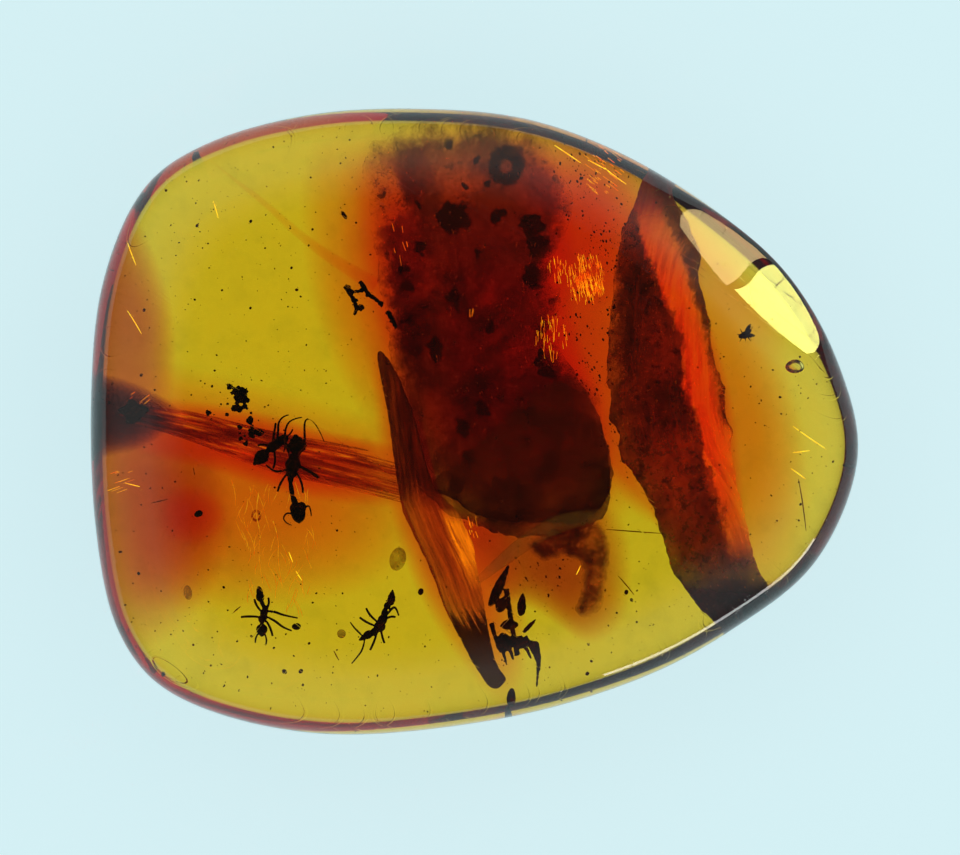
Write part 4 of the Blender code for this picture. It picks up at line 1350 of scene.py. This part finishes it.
def glow_splinters():
    """Short splinters in the cracked part of the bark, whose material gives them painted glints that glow.
    """
    draw = random.Random(17)
    places = []
    for x, y, spread, count, lean in SPLINTER_BEDS:
        for _ in range(count):
            away, bearing = spread * math.sqrt(draw.random()), draw.uniform(0, 2 * math.pi)
            depth = draw.uniform(*SPLINTER_LEVELS)
            middle = (x + 0.8 * away * math.cos(bearing), y + away * math.sin(bearing), depth)
            thick = draw.uniform(0.012, 0.034)
            turn = -math.atan(lean + draw.uniform(-0.15, 0.15))
            places.append((middle, (thick, draw.uniform(0.04, 0.24), thick), turn))
    splinter = stem([(0, -1, 0), (0.6, 0, 0), (0, 1, 0)], (0.3, 1, 0.3), 1, 0, 1)
    return joined("glow_splinters", scatter(splinter, places))


SPLINTER_LEVELS = (4.35, 4.6)
# Each bed of splinters has a centre, a spread, a count and a lean to the side.
SPLINTER_BEDS = (
    (4.3, 5.5, 0.95, 130, -0.2), (4.4, 5.3, 0.5, 50, -0.3), (3.2, 6.0, 0.5, 26, -0.1),
    (3.0, 3.3, 0.8, 46, -0.05), (4.9, 9.6, 0.9, 44, -1.4), (-3.2, 7.0, 0.8, 6, -0.3),
    (-0.15, 4.26, 0.12, 4, 0.2), (-0.1, -4.3, 0.5, 12, -0.3), (-13.5, -2.35, 0.5, 10, 2.4),
    (-12.9, 0.9, 0.5, 6, 1.2),
)


def red_ring():
    """A tiny ring of red film."""
    bpy.ops.mesh.primitive_torus_add(
        major_radius=0.17, minor_radius=0.045, major_segments=28, minor_segments=8
    )
    return place_at(named("red_ring"), (-8.55, -3.7, 4.8), (0.9, 1.1, 0.8), 0)


# ---------------------------------------------------------------- deeper colour and flaws within the resin
def cloud(name, outline, middle_z, depth):
    """A lens of resin, thick in its middle and thinning to nothing at its outline."""
    bpy.ops.mesh.primitive_circle_add(vertices=CLOUD_SIDES, radius=1, fill_type="NOTHING")
    lens = named(name)
    edge = closed_spline(outline, CLOUD_SIDES)
    middle = sum(edge, Vector((0, 0))) / CLOUD_SIDES
    for vertex, point in zip(lens.data.vertices, edge):
        vertex.co = (point.x, point.y, middle_z)
    for way in (1, -1):
        edit(lens)
        select_open_rim()
        raise_rings(CLOUD_STEPS, way * depth, middle)
        bpy.ops.mesh.merge(type="CENTER")
        leave()
    return lens


CLOUD_SIDES = 40
CLOUD_FALL = 1.3
CLOUD_RINGS = (0.97, 0.91, 0.83, 0.73, 0.61, 0.46, 0.3, 0.14)
CLOUD_STEPS = tuple((share, (1 - share * share) ** CLOUD_FALL) for share in CLOUD_RINGS)

# Each haze has a tint, an outline, the level of its middle and its half thickness there.
HAZES = {
    "haze_root": (
        "orange",
        (
            (-14.5, 2.4), (-9.8, 1.9), (-5.5, 0.7), (-1.8, -0.6), (-1.6, -3.6), (-3.4, -6.2), (-7.0, -7.2),
            (-11.8, -7.4), (-14.2, -6.6), (-14.8, -2),
        ),
        3.6,
        0.8,
    ),
    "haze_root_core": (
        "red",
        (
            (-13.9, 0.9), (-9.8, 0.7), (-5.5, -0.4), (-2.6, -1.2), (-2.6, -3.3), (-6.5, -3.1),
            (-10.0, -2.1), (-13.6, -1.0)
        ),
        3.8,
        0.4,
    ),
    "haze_upper": (
        "orange", ((-6.4, 10.6), (-2.2, 10.4), (-1.6, 3.6), (-1.6, -1.8), (-4.4, 0.0), (-6.6, 5.2)),
        4.6, 0.6
    ),
    "haze_bark": (
        "orange",
        (
            (-5.2, 10.2), (-2.0, 11.3), (1.5, 11.5), (4.8, 10.9), (7.1, 9.7), (8.6, 6.8), (9.0, 0.5),
            (8.2, -4.4), (6.2, -3.6), (4.6, -5.0), (2.0, -5.4), (-0.8, -4.6), (-2.8, -3.0), (-3.8, 0.0),
            (-4.9, 4.5), (-5.5, 8.0),
        ),
        2.8,
        1.75,
    ),
    "haze_bark_core": (
        "red",
        (
            (-4.6, 10.2), (-1.0, 11.1), (2.4, 10.6), (3.9, 8.0), (4.0, 4.0), (5.2, 0.8), (5.6, -2.6),
            (4.6, -4.6), (1.6, -4.7), (-2.3, -3.2), (-3.4, 1.6), (-4.6, 6.2),
        ),
        3.1,
        0.6,
    ),
    "haze_top": (
        "orange",
        ((0.8, 10.6), (2.6, 10.7), (4.6, 10.3), (6.2, 9.1), (7.0, 6.8), (6.0, 4.6), (3.6, 4.6), (1.6, 7.4)),
        4.0,
        0.75,
    ),
    "haze_strip_core": (
        "red",
        (
            (5.9, 8.4), (7.6, 8.0), (9.2, 4.0), (10.2, 0.4), (10.6, -3.4), (10.9, -5.8), (9.6, -7.0),
            (7.9, -5.6), (6.4, -2.4), (5.5, 1.0), (5.4, 5.0),
        ),
        3.2,
        0.6,
    ),
    "haze_husk": (
        "umber",
        ((-1.0, -3.4), (3.2, -3.0), (5.8, -3.7), (6.0, -7.2), (4.5, -8.5), (2.4, -7.4), (0.3, -6.4)),
        4.0, 1.05
    ),
    "haze_strip": (
        "orange",
        (
            (8.0, 8.0), (10.6, 5.0), (12.6, 0.4), (12.9, -3.4), (12.0, -6.0), (10.8, -6.9),
            (9.6, -3.5), (8.4, 0.5), (7.4, 5.0)
        ),
        2.5,
        0.55,
    ),
    "haze_strip_end": (
        "brown", ((8.9, -6.2), (11.7, -5.9), (12.0, -6.4), (10.9, -7.4), (9.6, -7.9)), 3.9, 0.5
    ),
    "haze_pellet": (
        "red",
        ((-12.2, -3.0), (-11.1, -2.4), (-9.9, -3.0), (-9.7, -4.1), (-10.8, -5.0), (-12.1, -4.4)), 4.4,
        0.2
    ),
    "haze_lump": (
        "brown",
        (
            (-15.0, 2.0), (-13.8, 1.8), (-12.6, 1.3), (-11.4, 0.3), (-12.4, -0.8), (-13.6, -1.3),
            (-14.9, -1.3)
        ),
        4.2,
        0.9,
    ),
    # Along the left rim these umber hazes are partly deeper colour and partly painted shade, standing in for
    # the darker rim.
    "haze_and_rim_shade_left_upper": (
        "umber",
        (
            (-13.2, 9.0), (-12.3, 6.8), (-11.6, 3.8), (-11.8, 0.8), (-13.4, -0.8), (-14.9, 0.6),
            (-14.9, 3.6), (-14.3, 6.8)
        ),
        3.0,
        0.75,
    ),
    # Partly deeper colour, partly painted shade along the left rim.
    "haze_and_rim_shade_left_lower": (
        "umber",
        (
            (-14.9, 1.0), (-12.6, 0.8), (-10.2, -1.0), (-9.4, -4.0), (-10.6, -7.2), (-13.2, -8.8),
            (-14.6, -4.5)
        ),
        3.0,
        0.75,
    ),
    "haze_blade": (
        "red",
        (
            (-4.2, 2.8), (-2.6, 1.6), (-1.2, -3.0), (1.6, -4.6), (1.9, -9.3), (0.6, -10.3),
            (-2.0, -7.4), (-3.6, -3.0)
        ),
        2.6,
        0.42,
    ),
}
TINTS = {
    "orange": ((0.98, 0.42, 0.05), 1500),
    "red": ((0.965, 0.11, 0.05), 3000),
    "brown": ((0.4, 0.08, 0.1), 3000),
    "umber": ((0.82, 0.34, 0.05), 1700),
}


def veil():
    """A healed crack: a grey film lying aslant, no thicker than a leaf."""
    path = [(0.1, -6.2, 6.0), (1.41, -5.1, 6.1), (2.81, -4.15, 6.2), (3.81, -3.8, 6.2), (5.0, -3.6, 6.2)]
    return renamed(stem(path, (0.14, 0.3, 0.34, 0.34, 0.2), 0.1, 2, 8), "veil")


def flow_line():
    """A thin curtain of darker resin that widens towards the bark."""
    path = [(-10.3, 9.9, 4.6), (-8.51, 8.66, 4.6), (-7.19, 7.5, 4.6), (-5.8, 6.4, 4.6), (-3.9, 5.3, 4.6)]
    return renamed(stem(path, (0.03, 0.12, 0.17, 0.24, 0.34), 0.8, 2, 8), "flow_line")


# ---------------------------------------------------------------- the studio
def studio():
    floor_stuff, tree = new_material("studio_floor")
    tone = ramp(tree, grain(tree, place_on(tree), 0.01, 2), (0.3, FLOOR_COLOUR), (0.7, FLOOR_COLOUR))
    dress(floor_stuff, tone, 0.9, None, (*FLOOR_GLOW, 1), 1)
    bpy.ops.mesh.primitive_plane_add(size=2, location=(0, 0, FLOOR_Z))
    floor = named("studio_floor")
    floor.data.materials.append(floor_stuff)

    world = bpy.data.worlds.new("studio_sky")
    bpy.context.scene.world = world
    world.use_nodes = True
    tree = world.node_tree
    sky = ramp(tree, split(tree, add(tree, "ShaderNodeTexCoord").outputs["Generated"])[2], *SKY)
    tree.nodes["Background"].inputs["Strength"].default_value = SKY_STRENGTH
    tree.links.new(sky, tree.nodes["Background"].inputs["Color"])

    for name, bearing, height, away, size, colour, glow in SOFTBOXES:
        lamp = bpy.data.lights.new(name, "AREA")
        lamp.shape = "RECTANGLE"
        lamp.size, lamp.size_y = size
        lamp.color = colour
        lamp.energy = glow * math.pi * size[0] * size[1]
        box = bpy.data.objects.new(name, lamp)
        bearing, height = math.radians(bearing), math.radians(height)
        level_out = math.cos(height)
        aim = Vector((level_out * math.cos(bearing), level_out * math.sin(bearing), math.sin(height)))
        box.location = away * aim + Vector(BEVEL_PLACE)
        box.rotation_euler = (-aim).to_track_quat("-Z", "Y").to_euler()
        bpy.context.scene.collection.objects.link(box)


FLOOR_Z = -0.00002
FLOOR_COLOUR = (0.3, 0.4, 0.42)
FLOOR_GLOW = (0.56, 0.74, 0.77)
SKY = (
    (0.0, (0.4, 0.41, 0.43)), (0.45, (1, 1, 1)), (0.74, (1, 1, 1)), (0.9, (0.1, 0.1, 0.1)),
    (1.0, (0.07, 0.07, 0.07)),
)
SKY_STRENGTH = 0.5
# The softboxes stand about the polished bevel, here in metres. Each has a bearing and a height in degrees,
# its distance and size in metres, a colour and a brightness.
BEVEL_PLACE = (0.01, 0.004, 0.005)
SOFTBOXES = (
    ("softbox_bevel", 37.9, 4.0, 0.3, (0.026, 0.05), (1, 1, 0.27), 15),
    ("softbox_veil", 42.6, 6.0, 0.3, (0.02, 0.06), (1, 0.75, 0.35), 7),
    ("softbox_rim", -50, 4, 0.4, (0.3, 0.04), (1, 1, 1), 7),
)


# The camera's lens and sensor are in millimetres, and its place above the stone in metres.
LENS = 100
SENSOR = 36
CAMERA_PLACE = (0.00021, -0.00024, 0.1112)


def camera():
    view = bpy.data.cameras.new("camera")
    view.lens = LENS
    view.sensor_width = SENSOR
    eye = bpy.data.objects.new("camera", view)
    eye.location = CAMERA_PLACE
    bpy.context.scene.collection.objects.link(eye)
    bpy.context.scene.camera = eye


def sealed_things():
    """Every sealed piece, in its own stuff."""
    cuticle = ant_cuticle()
    for build in (ant_large, ant_curled, ant_small_left, ant_small_right, gnat):
        settle(build(), cuticle, "ant", build.__name__)

    settle(bark_slab(), bark_stuff(), "bark", "bark_slab")
    settle(bark_flake(), flake_stuff(), "bark", "bark_flake")
    settle(bark_strip(), strip_stuff(), "bark", "bark_strip")
    settle(wood_blade(), blade_stuff(), "wood", "wood_blade")
    settle(root(), root_stuff(), "root", "root")
    settle(husk_curl(), husk_stuff(), "bark", "husk_curl")
    scale_stuff = matt_stuff(
        "bud_scale", (0.008, 0.002, 0.001), (0.03, 0.005, 0.003), (0.1, 0.014, 0.006), 3, 0.45
    )
    settle(bud_scales(), scale_stuff, "bud", "bud_scales")
    settle(
        seed("seed_above", (1.33, -10.4, 4.3), (0.18, 0.27, 0.16), -10), scale_stuff, "bud",
        "seed_upper"
    )
    settle(
        seed("seed_below", (1.13, -10.88, 3.85), (0.19, 0.33, 0.17), -5), scale_stuff, "bud",
        "seed_lower"
    )

    char = matt_stuff("char", (0.002, 0.0015, 0.0015), (0.007, 0.004, 0.003), (0.03, 0.012, 0.006), 6, 0.7)
    settle(black_lump(), char, "char", "black_lump")
    settle(frass(), char, "char", *(f"frass_{k}" for k in range(1, 9)))
    settle(charred(), char, "char", "charred_1", "charred_2", "charred_3")
    settle(crumbs("crumbs", CRUMBS), char, "char", "pellet", "grain", "crumb")
    disc_stuff = see_through_scrap("scale_skin", (0.35, 0.14, 0.02), 0.45, 3.0)
    settle(discs(), disc_stuff, "scale", "scale_1", "scale_2", "scale_3")

    dust = matt_stuff("dust", (0.01, 0.003, 0.001), (0.06, 0.014, 0.003), (0.2, 0.05, 0.01), 0.8, 0.6)
    settle(specks(), dust, "char")
    # Gold lines: cracks that catch the light, drawn as slivers that glow with painted light.
    gold = glint_stuff("gold_glint", (1.0, 0.5, 0.02), (1.0, 0.85, 0.08), 1.4)
    settle(slivers("gold_glints", GOLD_LINES, 0.024), gold, "root")
    # The hairs glow with painted light, as glints.
    settle(hairs(), glint_stuff("orange_hair", (0.9, 0.2, 0.01), (1.0, 0.6, 0.05), 0.5), "root")
    brown = matt_stuff("brown_fibre", (0.1, 0.02, 0.004), (0.25, 0.06, 0.01), (0.4, 0.12, 0.02), 3, 0.4)
    settle(slivers("brown_fibres", BROWN_LINES, 0.035), brown, "root")
    # The splinters glow with painted light, as glints.
    splinter = glint_stuff("glow_splinter", (1.0, 0.12, 0.005), (1.0, 0.55, 0.03), 1.0)
    settle(glow_splinters(), splinter, "root")
    settle(red_ring(), see_through_scrap("red_film", (0.6, 0.06, 0.01), 0.6, 4.0), "scale")


def flaws():
    """The deeper colour round the sealed things, a healed crack and a flow line."""
    tints = {name: tinted_resin(f"{name}_resin", *tint) for name, tint in TINTS.items()}
    for name, (tint, outline, middle_z, depth) in HAZES.items():
        settle(cloud(name, outline, middle_z, depth), tints[tint], "amber")
    settle(flow_line(), tints["orange"], "amber")
    settle(veil(), see_through_scrap("crack_film", (0.3, 0.22, 0.24), 0.18, 1.5), "amber")


# A ray to the floor and back passes some ten skins of resin, haze and bark.
BOUNCES = 14
DIFFUSE_BOUNCES = 1
GLOSSY_BOUNCES = 3


def main():
    bpy.context.scene.view_settings.view_transform = "Standard"
    cycles = bpy.context.scene.cycles
    cycles.max_bounces = cycles.transmission_bounces = cycles.transparent_max_bounces = BOUNCES
    cycles.diffuse_bounces = DIFFUSE_BOUNCES
    cycles.glossy_bounces = GLOSSY_BOUNCES
    cycles.blur_glossy = 0
    camera()
    studio()
    settle(amber(), clear_resin(), "amber", "amber_front", "amber_back", hollow=True)
    sealed_things()
    flaws()
    deselect()


main()
